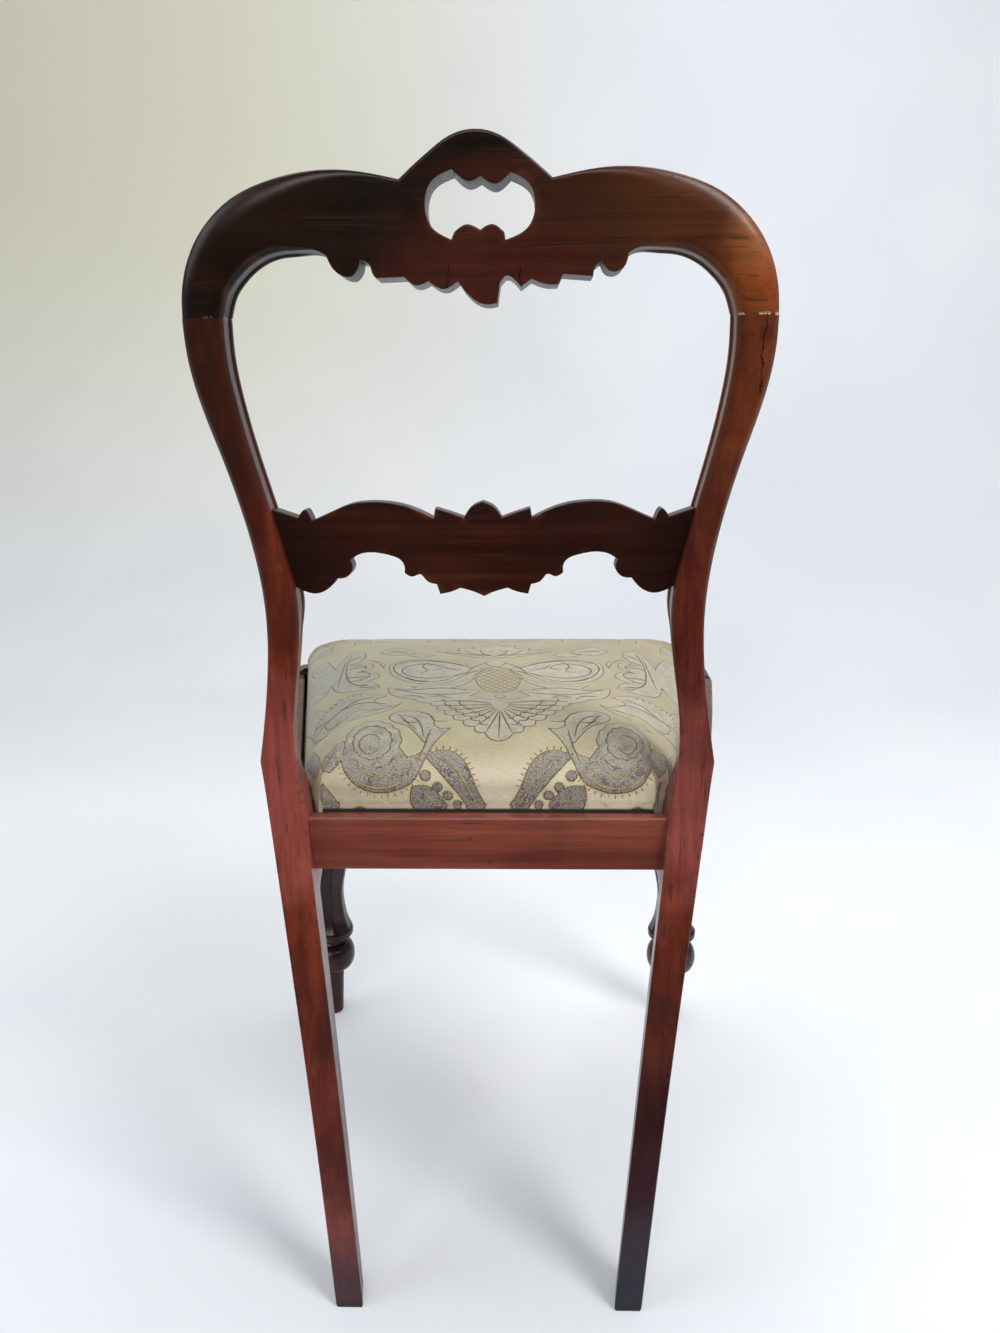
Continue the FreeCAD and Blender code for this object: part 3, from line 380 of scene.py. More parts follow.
# Polished mahogany: three tones mixed by streak and cloud, then zones that are darker, redder or
# more faded or that hold painted highlights, reflections and shadows, pores and dents darker,
# worn edges paler, single marks, and a coat of French polish.
# Along is the axis that the grain follows; zones and marks are pairs of a mask and a colour.
def mahogany(name, along, dark, middle, light, **given):
    look = {**polished, **given}
    material = newTree(name)
    place = objectPlace()
    turn = {"x": (0, quarterTurn, 0), "y": (quarterTurn, 0, 0), "z": (0, 0, 0)}[along]
    grain = addNode("Group", {"node_tree": grainGroup}, Vector=stretched(place, (1, 1, 1), turn)).outputs
    use = addNode("Group", {"node_tree": useGroup}, Vector=place, Dents=look["dents"]).outputs
    tone = plus(times(grain["Streak"], 0.62), times(grain["Cloud"], 0.38))
    colour = ramp(tone, (0.34, srgb(*dark)), (0.5, srgb(*middle)), (0.66, srgb(*light)))
    for mask, tint in look["zones"]:
        colour = mixColours(mask(place), colour, srgb(*tint))
    colour = mixColours(1.0, colour, grey(remap(grain["Line"], 0.4, 0.62, 0.86, 1.06)), "MULTIPLY")
    sunk = maths("MAXIMUM", times(grain["Pore"], look["poreDepth"]), times(use["Dent"], 0.8))
    worn = times(attribute("wear"), remap(noise(place, 45.0, 5.0, 0.65), 0.5, 0.66))
    for share, key in ((sunk, "poreColour"), (times(use["Grime"], look["grime"]), "grimeColour"),
                       (times(worn, look["worn"]), "wornColour")):
        colour = mixColours(share, colour, srgb(*look[key]))
    for mask, tint in look["marks"]:
        colour = mixColours(mask(place), colour, srgb(*tint))
    sheen = remap(noise(place, 22.0, 4.0, 0.6), 0.3, 0.7, look["gloss"], look["matt"])
    sheen = plus(plus(sheen, times(sunk, 0.25)), times(use["Scratch"], 0.2))
    shader = addNode("BsdfPrincipled", Base_Color=colour, Roughness=sheen, Specular_IOR_Level=look["specular"],
                     IOR=1.5, Coat_Weight=look["coat"], Coat_Roughness=look["coatRough"])
    height = minus(minus(times(grain["Line"], 0.25), sunk), times(use["Scratch"], 0.6))
    bumped(shader, height, 0.35, 0.0004)
    return finished(material, shader)


def axisMask(axis, low, high, share=1.0):
    # a mask that grows from low to high along an axis, broken up a little by noise
    def build(place):
        parts = addNode("SeparateXYZ", in0=place)
        wander = offCentre(noise(place, 16.0, 3.0), 0.5 * abs(high - low))
        grown = remap(plus(parts.outputs["xyz".index(axis)], wander), low, high)
        return times(grown, share)
    return build


def spotMask(centre, reach, share):
    # a soft round mask about a point, its edge made ragged by noise
    def build(place):
        away = addNode("VectorMath", {"operation": "DISTANCE"}, in0=place, in1=centre).outputs["Value"]
        ragged = offCentre(noise(place, 30.0, 4.0, 0.6), reach * 0.9)
        return times(remap(plus(away, ragged), reach, reach * 0.3), share)
    return build


def crackMask(across, low, high, wide):
    # a thin wandering upright crack at one place across, between two heights
    def build(place):
        parts = addNode("SeparateXYZ", in0=place)
        bend = offCentre(noise(place, 70.0, 4.0, 0.7), 0.012)
        away = awayFrom(plus(parts.outputs[0], bend), across)
        ends = times(remap(parts.outputs[2], low, low + 0.004), remap(parts.outputs[2], high, high - 0.002))
        return times(remap(away, wide, wide * 0.5), ends)
    return build


def bandMask(middle, half, low, high):
    # a thin wavering band about one height, showing only where patches of noise let it
    def build(place):
        height = addNode("SeparateXYZ", in0=place).outputs[2]
        away = awayFrom(plus(height, offCentre(noise(place, 260.0, 3.0), 0.0012)), middle)
        return times(remap(away, half, half * 0.6), remap(noise(place, 120.0, 2.0), low, high))
    return build


print("Node groups made")


# ---- Side view of the back, the same curves as the CAD model's
legCurveTop = chair["kneeHeight"] - 0.014
backCurveLow = chair["kneeHeight"] + 0.016
railLow = chair["railTop"] - chair["railTall"]


def rearDepth(height):
    # the rear face: the leg sweeps back below the seat and the balloon leans back above it
    foot = chair["footSweep"] * np.clip(1 - height / legCurveTop, 0, None) ** 1.354
    lean = np.clip((height - backCurveLow) / (chair["totalHeight"] - backCurveLow), 0, None)
    return foot + chair["crestSweep"] * lean ** 1.38


def frontDepth(height):
    straightLow = railLow - 0.012
    straightHigh = chair["railTop"] + 0.02
    rise = np.clip((height - straightHigh) / (chair["waistHeight"] - straightHigh), 0, 1)
    deep = between(chair["seatDeep"], chair["waistDeep"], rise)
    thin = np.clip((height - chair["waistHeight"]) / (chair["jointHeight"] - chair["waistHeight"]), 0, 1)
    deep = np.where(height > chair["waistHeight"], between(chair["waistDeep"], chair["topDeep"], thin), deep)
    leg = (chair["footSweep"] - 0.025 + chair["seatDeep"]) * np.clip(1 - height / straightLow, 0, None) ** 1.25
    return np.where(height < straightHigh, leg - chair["seatDeep"], rearDepth(height) - deep)


# Back posts
post = {
    "foot": 0.127, "knee": 0.1815, "waist": 0.1675, "balloon": 0.2026,   # outer half widths
    "footWide": 0.0225, "railWide": 0.031, "waistWide": 0.0256, "jointWide": 0.0287,
    "levels": 330,
    "bead": 0.0013,          # moulded bead on the inner edge, in front
    "domed": 0.0012,         # swelling of the rounded rear face above the seat
    "edge": 0.0013,          # softened edges of the square leg
    "cant": 0.13,            # the inner side leans outwards with the widening seat
}
innerRailLow = between(post["foot"], post["knee"], railLow / chair["kneeHeight"]) - post["railWide"] + 0.0036
innerRailHigh = innerRailLow + 0.0026
innerMidLow = post["waist"] - post["waistWide"] + 0.0012
innerMidHigh = innerMidLow + 0.0128
jointOuter = post["balloon"] - 0.0004
jointInner = jointOuter - post["jointWide"]


def postEdges(levels):
    # outer and inner half widths at each height, read off the rear view's curves
    waist, knee, kneeHeight, waistHeight = post["waist"], post["knee"], chair["kneeHeight"], chair["waistHeight"]
    rise = chair["balloonHeight"] - waistHeight
    out = post["balloon"] - waist
    low = [(post["foot"], 0), (between(post["foot"], knee, 0.43), 0.42 * kneeHeight),
           (between(post["foot"], knee, 0.8), 0.78 * kneeHeight), (knee, kneeHeight)]
    high = [(knee, kneeHeight), (between(waist, knee, 0.33), between(kneeHeight, waistHeight, 0.48)),
            (waist, waistHeight)]
    high += [(waist + out * b, waistHeight + rise * a)
             for a, b in ((0.26, 0.13), (0.6, 0.545), (0.87, 0.93), (1, 1))]
    high.append((jointOuter, chair["jointHeight"]))
    foot = (post["foot"] - post["footWide"], 0)
    gape = chair["jointHeight"] - chair["midHigh"]
    shin = [foot, (between(foot[0], innerRailLow, 0.53), 0.52 * railLow), (innerRailLow, railLow)]
    railEnd = [(innerRailLow, railLow), (innerRailHigh, chair["railTop"])]
    kneeIn = (knee - post["railWide"] + 0.0028, between(chair["railTop"], kneeHeight, 1.35))
    bow = [(innerRailHigh, chair["railTop"]), kneeIn, (waist - post["waistWide"], waistHeight),
           (innerMidLow, chair["midLow"])]
    midEnd = [(innerMidLow, chair["midLow"]), (innerMidHigh, chair["midHigh"])]
    arch = [(innerMidHigh, chair["midHigh"])]
    arch += [(between(innerMidHigh, jointInner, b), chair["midHigh"] + gape * a)
             for a, b in ((0.27, 0.46), (0.56, 0.86), (0.85, 1.05))]
    arch.append((jointInner, chair["jointHeight"]))
    sides = []
    for runs in ((low, high), (shin, railEnd, bow, midEnd, arch)):
        curve = np.vstack([splineThrough(run, 60) for run in runs])
        order = np.argsort(curve[:, 1], kind="stable")
        sides.append(np.interp(levels, curve[order, 1], curve[order, 0]))
    return sides


def edgeRounds(levels):
    # how far the rear face's rounding reaches in from the outer and inner edge, and how deep it goes
    above = smoothStep(levels, 0.47, 0.62)
    shoulder = smoothStep(levels, 0.66, 0.79)
    outerReach = between(post["edge"], 0.006, above) + 0.008 * shoulder
    outerDeep = between(post["edge"], 0.004, above) + 0.0035 * shoulder
    innerReach = between(post["edge"], 0.0075, above)
    innerDeep = between(post["edge"], 0.0065, above)
    return outerReach, outerDeep, innerReach, innerDeep


def wallBead(share, strength):
    # inner wall from rear (0) to front (1): a shallow groove, then a half-round bead
    groove = -0.0007 * np.exp(-((share - 0.66) / 0.03) ** 2)
    bead = post["bead"] * np.sqrt(np.clip(1 - ((share - 0.84) / 0.155) ** 2, 0, 1))
    return strength * (groove + bead)


def backPost(name, side, material):
    # a rounded section at each height, carried up the two edge curves and the side view's sweep
    top = chair["jointHeight"] - 0.00012
    even = np.linspace(0.004, top - 0.0006, post["levels"])
    levels = np.concatenate([[0, 0.0006, 0.0018], even, [top - 0.0002, top]])
    outer, inner = postEdges(levels)
    rear = rearY + rearDepth(levels)
    front = rearY + frontDepth(levels)
    outerReach, outerDeep, innerReach, innerDeep = edgeRounds(levels)
    above = smoothStep(levels, 0.47, 0.62)
    frontReach = between(post["edge"], 0.0035, above)
    turn = np.linspace(0, quarterTurn, 7)
    wall = np.linspace(0, 1, 22)[1:-1]
    flat = np.linspace(0, 1, 9)[1:-1]
    col = lambda values: np.asarray(values)[:, None]
    width = col(outer - inner)
    back = turn[::-1]
    plain = np.linspace(0, 1, 8)[1:-1]

    def corner(side, reach, face, deep, arc):
        # a quarter round that leaves one face and meets the next, worn all over
        return col(side) + col(reach) * (1 - np.cos(arc)), col(face) + col(deep) * (1 - np.sin(arc)), 1

    def straight(start, end, share):
        return col(start) + (col(end) - col(start)) * share

    parts = [  # runs of the section as (across, depth, wear), round from the outer rear corner
        corner(outer, -outerReach, rear, -outerDeep, turn),
        (straight(outer - outerReach, inner + innerReach, flat), col(rear) + 0 * flat, 0),
        corner(inner, innerReach, rear, -innerDeep, back),
        (col(inner) - wallBead(wall, col(above)), straight(rear - innerDeep, front + frontReach, wall), 0),
        corner(inner, frontReach, front, frontReach, turn),
        (straight(inner + frontReach, outer - frontReach, flat), col(front) + 0 * flat, 0),
        corner(outer, -frontReach, front, frontReach, back),
        (col(outer) + 0 * plain, straight(front + frontReach, rear - outerDeep, plain), 0),
    ]
    across = np.hstack([part[0] for part in parts])
    depth = np.hstack([part[1] for part in parts])
    wear = np.hstack([np.full(part[0].shape, float(part[2])) for part in parts])
    share = (across - col(inner)) / width
    lean = post["cant"] * (1 - smoothStep(levels, 0.325, 0.356) + smoothStep(levels, 0.41, 0.45)
                           - smoothStep(levels, 0.555, 0.588))
    across = across + col(lean) * (col(rear) - depth) * np.clip(1 - share, 0, 1)
    towardRear = np.clip((depth - col(front)) / col(rear - front), 0, 1) ** 6
    depth = depth - post["domed"] * col(above) * (2 * share - 1) ** 2 * towardRear
    # worn foot: the lowest rings draw in
    shrink = col(np.where(levels < 0.003, 1 - 0.055 * (1 - levels / 0.003) ** 2, 1))
    middleX, middleY = col((outer + inner) / 2), col((rear + front) / 2)
    across = middleX + (across - middleX) * shrink
    depth = middleY + (depth - middleY) * shrink
    wear = np.maximum(wear * 0.8, np.exp(-col(levels) / 0.012))
    rings = np.stack([side * across, depth, np.broadcast_to(col(levels), across.shape)], axis=-1)
    return loftRings(name, rings, material, wear, flip=side < 0)


# ---- Flat shaped boards with rounded edges: the crest and the mid rail
def shapedBoard(name, loops, look, material):
    # The rear and front faces share one set of points in the rear view: the outline, rows that
    # follow it inwards where the edge is rounded, and a staggered grid inside. Each face's depth
    # is a function of that point and of its distance to the outline.
    outlines = [loop["points"] for loop in loops]
    points = np.vstack(outlines)
    ends = np.vstack([np.roll(outline, -1, axis=0) for outline in outlines])
    normals = np.vstack([outlineNormals(outline) for outline in outlines])
    reach, deep, free, beaded = (np.concatenate([loop[key] for loop in loops])
                                 for key in ("reach", "deep", "free", "bead"))
    rows = [points]
    shares = list(1 - np.cos(np.linspace(0, quarterTurn, 7))[1:]) + [1.12, 1.4]
    for share in shares:
        gap = np.maximum(reach * share, 0.00015)
        row = (points + normals * gap[:, None])[free]
        away = nearestEdge(row, points[free], ends[free])[0]
        rows.append(row[away > gap[free] * 0.985])
    step = look["grid"]
    low, high = points.min(0), points.max(0)
    gridX, gridZ = np.meshgrid(np.arange(low[0], high[0], step), np.arange(low[1], high[1], step * 0.87))
    gridX[1::2] += step / 2
    grid = np.stack([gridX.ravel(), gridZ.ravel()], axis=1)
    grid = grid[insideLoops(grid, outlines)]
    away, which = nearestEdge(grid, points, ends)
    rows.append(grid[away > reach[which] * 1.4 * free[which] + step * 0.55])
    edges, first = [], 0
    for size in map(len, outlines):
        edges += [(first + i, first + (i + 1) % size) for i in range(size)]
        first += size
    result = geometry.delaunay_2d_cdt([Vector(pair) for pair in np.vstack(rows).tolist()], edges, [], 2, 2e-5)
    flat = np.array([list(pair) for pair in result[0]])
    triangles = np.array([face for face in result[2] if len(face) == 3])
    triangles = triangles[insideLoops(flat[triangles].mean(1), outlines)]
    a, b, c = (flat[triangles[:, i]] for i in range(3))
    area = (b[:, 0] - a[:, 0]) * (c[:, 1] - a[:, 1]) - (b[:, 1] - a[:, 1]) * (c[:, 0] - a[:, 0])
    triangles[area < 0] = triangles[area < 0][:, ::-1]
    triangles = triangles[np.abs(area) > 1e-12]
    used = np.unique(triangles)
    renumber = np.full(len(flat), -1)
    renumber[used] = np.arange(len(used))
    flat, triangles = flat[used], renumber[triangles]
    count = len(flat)
    away, which = nearestEdge(flat, points[free], ends[free])
    reachHere, deepHere = reach[free][which], deep[free][which]
    rounding = 1 - np.sqrt(np.clip(1 - np.clip(1 - away / np.maximum(reachHere, 1e-6), 0, 1) ** 2, 0, 1))
    rear = look["rear"](flat) - deepHere * rounding - look["rearRelief"](flat, away)
    front = look["front"](flat) + np.minimum(deepHere, look["frontEdge"]) * rounding
    front = np.minimum(front + look["frontRelief"](flat, away), rear - 0.001)
    # the wall between the two faces, along the edges that only one triangle has
    way = np.vstack([triangles[:, [0, 1]], triangles[:, [1, 2]], triangles[:, [2, 0]]])
    back, uses = np.unique(np.sort(way, axis=1), axis=0, return_inverse=True, return_counts=True)[1:]
    rim = way[uses[back.ravel()] == 1]
    rimPoints = np.unique(rim)
    place = np.full(count, -1)
    place[rimPoints] = np.arange(len(rimPoints))
    wall = np.linspace(0, 1, look["wallRows"])[1:-1]
    which = nearestEdge(flat[rimPoints], points, ends)[1]
    bulge = wallBead(wall[:, None], beaded[which][None])
    wallFlat = flat[rimPoints][None] - normals[which][None] * bulge[..., None]
    wallDepth = rear[rimPoints][None] * (1 - wall[:, None]) + front[rimPoints][None] * wall[:, None]
    wallRows = [2 * count + row * len(rimPoints) + np.arange(len(rimPoints)) for row in range(len(wall))]
    layers = [rimPoints, *wallRows, count + rimPoints]
    i, j = place[rim[:, 0]], place[rim[:, 1]]
    quads = [np.stack([lower[i], upper[i], upper[j], lower[j]], axis=1)
             for upper, lower in zip(layers[:-1], layers[1:])]
    solid = np.vstack([
        np.stack([flat[:, 0], rear, flat[:, 1]], axis=1),
        np.stack([flat[:, 0], front, flat[:, 1]], axis=1),
        np.stack([wallFlat[..., 0].ravel(), wallDepth.ravel(), wallFlat[..., 1].ravel()], axis=1),
    ])
    piece = addMesh(name, solid, np.vstack(quads), np.vstack([triangles[:, ::-1], triangles + count]), sharp=42)
    worn = np.exp(-away / 0.0022)
    addAttribute(piece, "wear", np.concatenate([worn, worn, np.full(wallDepth.size, 0.3)]))
    piece.data.materials.append(material)
    return piece


def boardLoop(pieces, step, clockwise=False):
    # sample an outline whose pieces are (knots, kind) and keep which kind each sample came from
    runs, counts = joinPieces([piece for piece, kind in pieces], step)
    kinds = np.repeat([kind for piece, kind in pieces], counts)
    area = np.sum(runs[:, 0] * np.roll(runs[:, 1], -1) - np.roll(runs[:, 0], -1) * runs[:, 1])
    if (area < 0) != clockwise:
        runs, kinds = runs[::-1], kinds[::-1]
        kinds = np.roll(kinds, -1)
    return runs, kinds


# Crest rail
crest = {
    "cusp": 0.049, "cuspDrop": 0.027, "shoulderDrop": 0.021,
    "pendant": 0.099, "pendantTop": 0.071, "pendantDrop": 0.0305,
    "hole": 0.0353, "holeTall": 0.040, "holeTop": 0.022, "holeMiddle": -0.0025,
    "grid": 0.0026, "sample": 0.0011,
    "carvedEdge": 0.0011,    # rounding of the fretted edges
}


def crestLoops():
    top, joint = chair["totalHeight"], chair["jointHeight"]
    span = jointOuter - crest["cusp"]
    rise = top - crest["shoulderDrop"] - joint
    outer = [(jointOuter, joint)]
    outer += [(crest["cusp"] + span * a, joint + rise * b)
              for a, b in ((0.99, 0.15), (0.96, 0.34), (0.9, 0.54), (0.82, 0.7), (0.7, 0.85), (0.565, 0.94))]
    outer += [(crest["cusp"] + span * 0.24, joint + rise), (crest["cusp"], top - crest["cuspDrop"])]
    hump = [(a * crest["cusp"], top - crest["cuspDrop"] + b * crest["cuspDrop"])
            for a, b in ((1, 0), (0.83, 0.25), (0.6, 0.56), (0.29, 0.9), (0, 1))]
    hump += mirrored(hump[:-1])
    high = top - crest["pendantTop"]
    inSpan = jointInner - crest["pendant"]
    arch = [(jointInner, joint)]
    arch += [(crest["pendant"] + inSpan * a, between(joint, high, b))
             for a, b in ((0.965, 0.21), (0.915, 0.43), (0.825, 0.65), (0.655, 0.92), (0.46, 1.07), (0.24, 1.1),
                          (0.06, 1.07))]
    arch.append((crest["pendant"], high))
    # the fretted lower edge, in shares of its half width and of its depth, from the sitter's left
    lower = drawn("100,0 97,22 91,39 85,42 80,28 78,9 / 72,17 70,36 68,45 / 49,43 / 42,60 33,52 / 23,68 13,52 "
                  "/ 7,78 -6,100 -13,97 / -15,56 / -19,43 -29,65 / -36,49 / -47,60 -54,60 / -57,40 / -77,45 / "
                  "-78,28 -83,14 / -86,31 -93,36 -98,24 -100,0")
    hole = drawn("49,0 88,18 100,50 90,80 54,100 / 48,89 / 25,78 0,86 / -22,78 -44,90 / -46,101 / -88,82 "
                 "-100,54 -90,22 -56,5 / -28,21 -2,10 / 18,17 49,0")
    fret = [[(a / 100 * crest["pendant"], high - b / 100 * crest["pendantDrop"]) for a, b in run] for run in lower]
    cut = [[(crest["holeMiddle"] + a / 100 * crest["hole"], top - crest["holeTop"] - b / 100 * crest["holeTall"])
            for a, b in run] for run in hole]
    pieces = [(outer, "outer"), (hump, "hump"), (mirrored(outer), "outer"),
              ([(-jointOuter, joint), (-jointInner, joint)], "joint"), (mirrored(arch[::-1]), "arch")]
    pieces += [(run[::-1], "fret") for run in fret[::-1]]
    pieces += [(arch[::-1], "arch"), ([(jointInner, joint), (jointOuter, joint)], "joint")]
    loops = []
    for group, clockwise in ((pieces, False), ([(run, "hole") for run in cut], True)):
        points, kinds = boardLoop(group, crest["sample"], clockwise)
        across = np.abs(points[:, 0])
        outerReach, outerDeep, innerReach, innerDeep = edgeRounds(np.full(len(points), joint))
        arm = smoothStep(across, 0.055, 0.15)
        reach = np.full(len(points), crest["carvedEdge"])
        deep = reach.copy()
        isOuter, isArch, isHump = (kinds == kind for kind in ("outer", "arch", "hump"))
        reach = np.where(isOuter, between(0.0022, outerReach, arm), reach)
        deep = np.where(isOuter, between(0.0018, outerDeep, arm), deep)
        archArm = smoothStep(across, 0.1, 0.14)
        reach = np.where(isArch, between(crest["carvedEdge"], innerReach, archArm), reach)
        deep = np.where(isArch, between(crest["carvedEdge"], innerDeep, archArm), deep)
        reach, deep = np.where(isHump, 0.0022, reach), np.where(isHump, 0.0018, deep)
        bead = np.where(isArch, smoothStep(across, 0.103, 0.125), 0)
        loops.append({"points": points, "reach": reach, "deep": deep, "free": kinds != "joint", "bead": bead})
    return loops


def crestFrontRelief(flat, away):
    # carving on the front: a border groove along the fretted edges, and leaf veins fanning from the middle
    across, height = flat[:, 0], flat[:, 1]
    carvedZone = smoothStep(np.abs(across), 0.115, 0.085)
    border = 0.0012 * np.exp(-((away - 0.0052) / 0.0011) ** 2)
    angle = np.arctan2(across, 0.862 - height)
    fan = 0.0006 * (0.5 + 0.5 * np.cos(angle * 22))
    leaves = fan * smoothStep(away, 0.007, 0.011) * smoothStep(height, 0.845, 0.835)
    hollow = 0.0016 * smoothStep(away, 0.004, 0.012) * smoothStep(np.abs(across), 0.09, 0.11)
    return carvedZone * (border + leaves) + hollow * (1 - carvedZone) * 0.6


def crestRearRelief(flat, away):
    # the rear is plain: it swells very slightly across each arm, as the posts do
    arm = smoothStep(np.abs(flat[:, 0]), 0.1, 0.17)
    return post["domed"] * arm * smoothStep(away, 0.014, 0.0)


def crestRail(material):
    look = {
        "grid": crest["grid"], "wallRows": 22, "frontEdge": 0.0035,
        "rear": lambda flat: rearY + rearDepth(flat[:, 1]),
        "front": lambda flat: rearY + rearDepth(flat[:, 1]) - chair["topDeep"],
        "rearRelief": crestRearRelief,
        "frontRelief": crestFrontRelief,
    }
    return shapedBoard("crestRail", crestLoops(), look, material)


# Mid rail
mid = {"deep": 0.018, "inset": 0.009, "grid": 0.0024, "sample": 0.001, "edge": 0.0009}


def midLoops():
    low, high = chair["midLow"], chair["midHigh"]
    upper = drawn("0,108 5.5,101 9,88 / 14,93 22.5,100 / 23.3,87.5 / 31,97.5 41.5,106 52,108.5 62,106 72,96 "
                  "81.5,85 / 84.5,99 88,89")
    lower = drawn("0,-13 4,-8 11.5,-2 / 15,-6 21.5,-10 / 23,3 / 28,8 31,16 34.5,13 38.5,18 / 38.3,25 39.5,33 "
                  "45.5,41 52.7,44.5 60,42 64.5,34.7 / 63.5,25 65,16.5 68,11.5 71.5,11 / 75,0 83,-9 89.5,-4")
    at = lambda pair: (pair[0] / 100 * innerMidHigh, low + pair[1] / 100 * (high - low))
    upper = [[at(pair) for pair in run] for run in upper]
    lower = [[at(pair) for pair in run] for run in lower]
    above = [*upper, [upper[-1][-1], (innerMidHigh, high)]]
    below = [[(innerMidLow, low), lower[-1][-1]], *(run[::-1] for run in lower[::-1])]
    half = [(run, "fret") for run in above] + [([(innerMidHigh, high), (innerMidLow, low)], "joint")]
    half += [(run, "fret") for run in below]
    points, kinds = boardLoop(half + [(mirrored(run), kind) for run, kind in half[::-1]], mid["sample"])
    reach = np.full(len(points), mid["edge"])
    return [{"points": points, "reach": reach, "deep": reach.copy(), "free": kinds != "joint",
             "bead": np.zeros(len(points))}]


def midFrontRelief(flat, away):
    # carved front: a groove just inside the outline and a rayed boss in the middle
    border = 0.001 * np.exp(-((away - 0.0042) / 0.001) ** 2)
    angle = np.arctan2(flat[:, 0], flat[:, 1] - 0.618)
    inMiddle = smoothStep(np.abs(flat[:, 0]), 0.045, 0.02)
    rays = 0.0007 * (0.5 + 0.5 * np.cos(angle * 14)) * smoothStep(away, 0.006, 0.01) * inMiddle
    return border + rays


def midRail(material):
    look = {
        "grid": mid["grid"], "wallRows": 8, "frontEdge": 0.0012,
        "rear": lambda flat: rearY + rearDepth(flat[:, 1]) - mid["inset"],
        "front": lambda flat: rearY + rearDepth(flat[:, 1]) - mid["inset"] - mid["deep"],
        "rearRelief": lambda flat, away: 0 * away,
        "frontRelief": midFrontRelief,
    }
    return shapedBoard("midRail", midLoops(), look, material)


# ---- Seat rails
rail = {
    "lipTall": 0.023, "lipWide": 0.022, "ledgeWide": 0.019, "drop": 0.029, "rearLipWide": 0.014,
    "sideFront": 0.239, "sideBow": 0.003, "frontBow": 0.012,
    "legBlock": 0.060,
    "topRound": 0.0035,      # rounded outer top edge
    "edge": 0.0011,
}
legX = rail["sideFront"] - rail["legBlock"] / 2 - 0.0005
legDepth = chair["legFront"] - rail["legBlock"] / 2


def sideX(depth):
    share = (depth - chair["seatDeep"]) / (chair["legFront"] - rail["legBlock"] - chair["seatDeep"])
    return between(post["knee"] - 0.0005, rail["sideFront"], share)


def ledgeHeight(depth):
    return chair["ledgeRear"] + chair["ledgeSlope"] * (depth - rail["rearLipWide"])


def roundCorners(corners, radii, steps=5):
    # a closed polygon with each corner rounded by an arc of its own radius
    corners = np.asarray(corners, float)
    before, after = np.roll(corners, 1, axis=0), np.roll(corners, -1, axis=0)
    rounded = []
    for corner, last, following, radius in zip(corners, before, after, radii):
        a = (last - corner) / np.linalg.norm(last - corner)
        b = (following - corner) / np.linalg.norm(following - corner)
        half = math.acos(np.clip(a @ b, -1, 1)) / 2
        reach = radius / math.tan(half)
        centre = corner + (a + b) / np.linalg.norm(a + b) * radius / math.sin(half)
        first, final = corner + a * reach - centre, corner + b * reach - centre
        swing = math.acos(np.clip(first @ final / radius ** 2, -1, 1))
        share = np.linspace(0, 1, steps)[:, None]
        arc = (np.sin((1 - share) * swing) * first + np.sin(share * swing) * final) / math.sin(swing)
        rounded.append(centre + arc)
    return np.vstack(rounded)


def railSection():
    # section of a side or front rail: distance in from the outer face, and height over the ledge
    tall, wide, low = rail["lipTall"], rail["lipWide"], -rail["drop"]
    inner = wide + rail["ledgeWide"]
    corners = [(0, low), (0, tall), (wide, tall), (wide, 0), (inner, 0), (inner, low)]
    radii = [rail["edge"], rail["topRound"], rail["edge"], 0.0006, rail["edge"], rail["edge"]]
    return roundCorners(corners, radii)


def rubbed(section, edge, reach):
    # wear that fades away from a height of the section
    return np.exp(-np.abs(section[:, 1] - edge) / reach)


def sideRail(name, side, material):
    # the section carried forward from the post to the leg, bowed outwards and rising with the ledge
    section = railSection()
    rearEnd, frontEnd = chair["seatDeep"], chair["legFront"] - rail["legBlock"]
    depth = np.linspace(rearEnd, frontEnd, 40)[:, None]
    bow = rail["sideBow"] * (1 - ((depth - (rearEnd + frontEnd) / 2) / ((frontEnd - rearEnd) / 2)) ** 2)
    fade = section[:, 0] < rail["lipWide"] * 0.5
    across = sideX(depth) + bow * fade - section[:, 0]
    height = ledgeHeight(depth) + section[:, 1]
    rings = np.stack([side * across, rearY - depth + 0 * across, height], axis=-1)
    return loftRings(name, rings, material, rubbed(section, rail["lipTall"], 0.004), flip=side < 0)


def frontRail(material):
    # the same section carried across the front on a shallow bow
    section = railSection()
    end = legX - rail["legBlock"] / 2
    across = np.linspace(-end, end, 60)[:, None]
    bow = rail["frontBow"] * (1 - (across / end) ** 2)
    inward = np.where(section[:, 0] > rail["lipWide"] + 0.002, 0.0, 1.0)
    depth = chair["legFront"] + bow * inward - section[:, 0]
    height = ledgeHeight(depth) + section[:, 1]
    rings = np.stack([across + 0 * depth, rearY - depth, height], axis=-1)
    return loftRings("frontRail", rings, material, rubbed(section, rail["lipTall"], 0.004), flip=True)


def rearRail(material):
    # rebated section between the posts, its ends leaning as the posts' inner sides do
    low, high, lip, deep = railLow, chair["railTop"], rail["rearLipWide"], chair["seatDeep"]
    ledge = ledgeHeight(0.025)
    corners = [(0.001, low), (0.001, high), (lip, high), (lip, ledge), (deep, ledge), (deep, low)]
    section = roundCorners(corners, [rail["edge"], 0.0018, rail["edge"], 0.0006, rail["edge"], rail["edge"]])
    share = np.linspace(-1, 1, 30)[:, None]
    half = between(innerRailLow, innerRailHigh, (section[:, 1] - low) / (high - low)) - 0.0001
    across = share * half
    rings = np.stack([across, rearY - section[:, 0] + 0 * across, section[:, 1] + 0 * across], axis=-1)
    return loftRings("rearRail", rings, material, rubbed(section, high, 0.003))


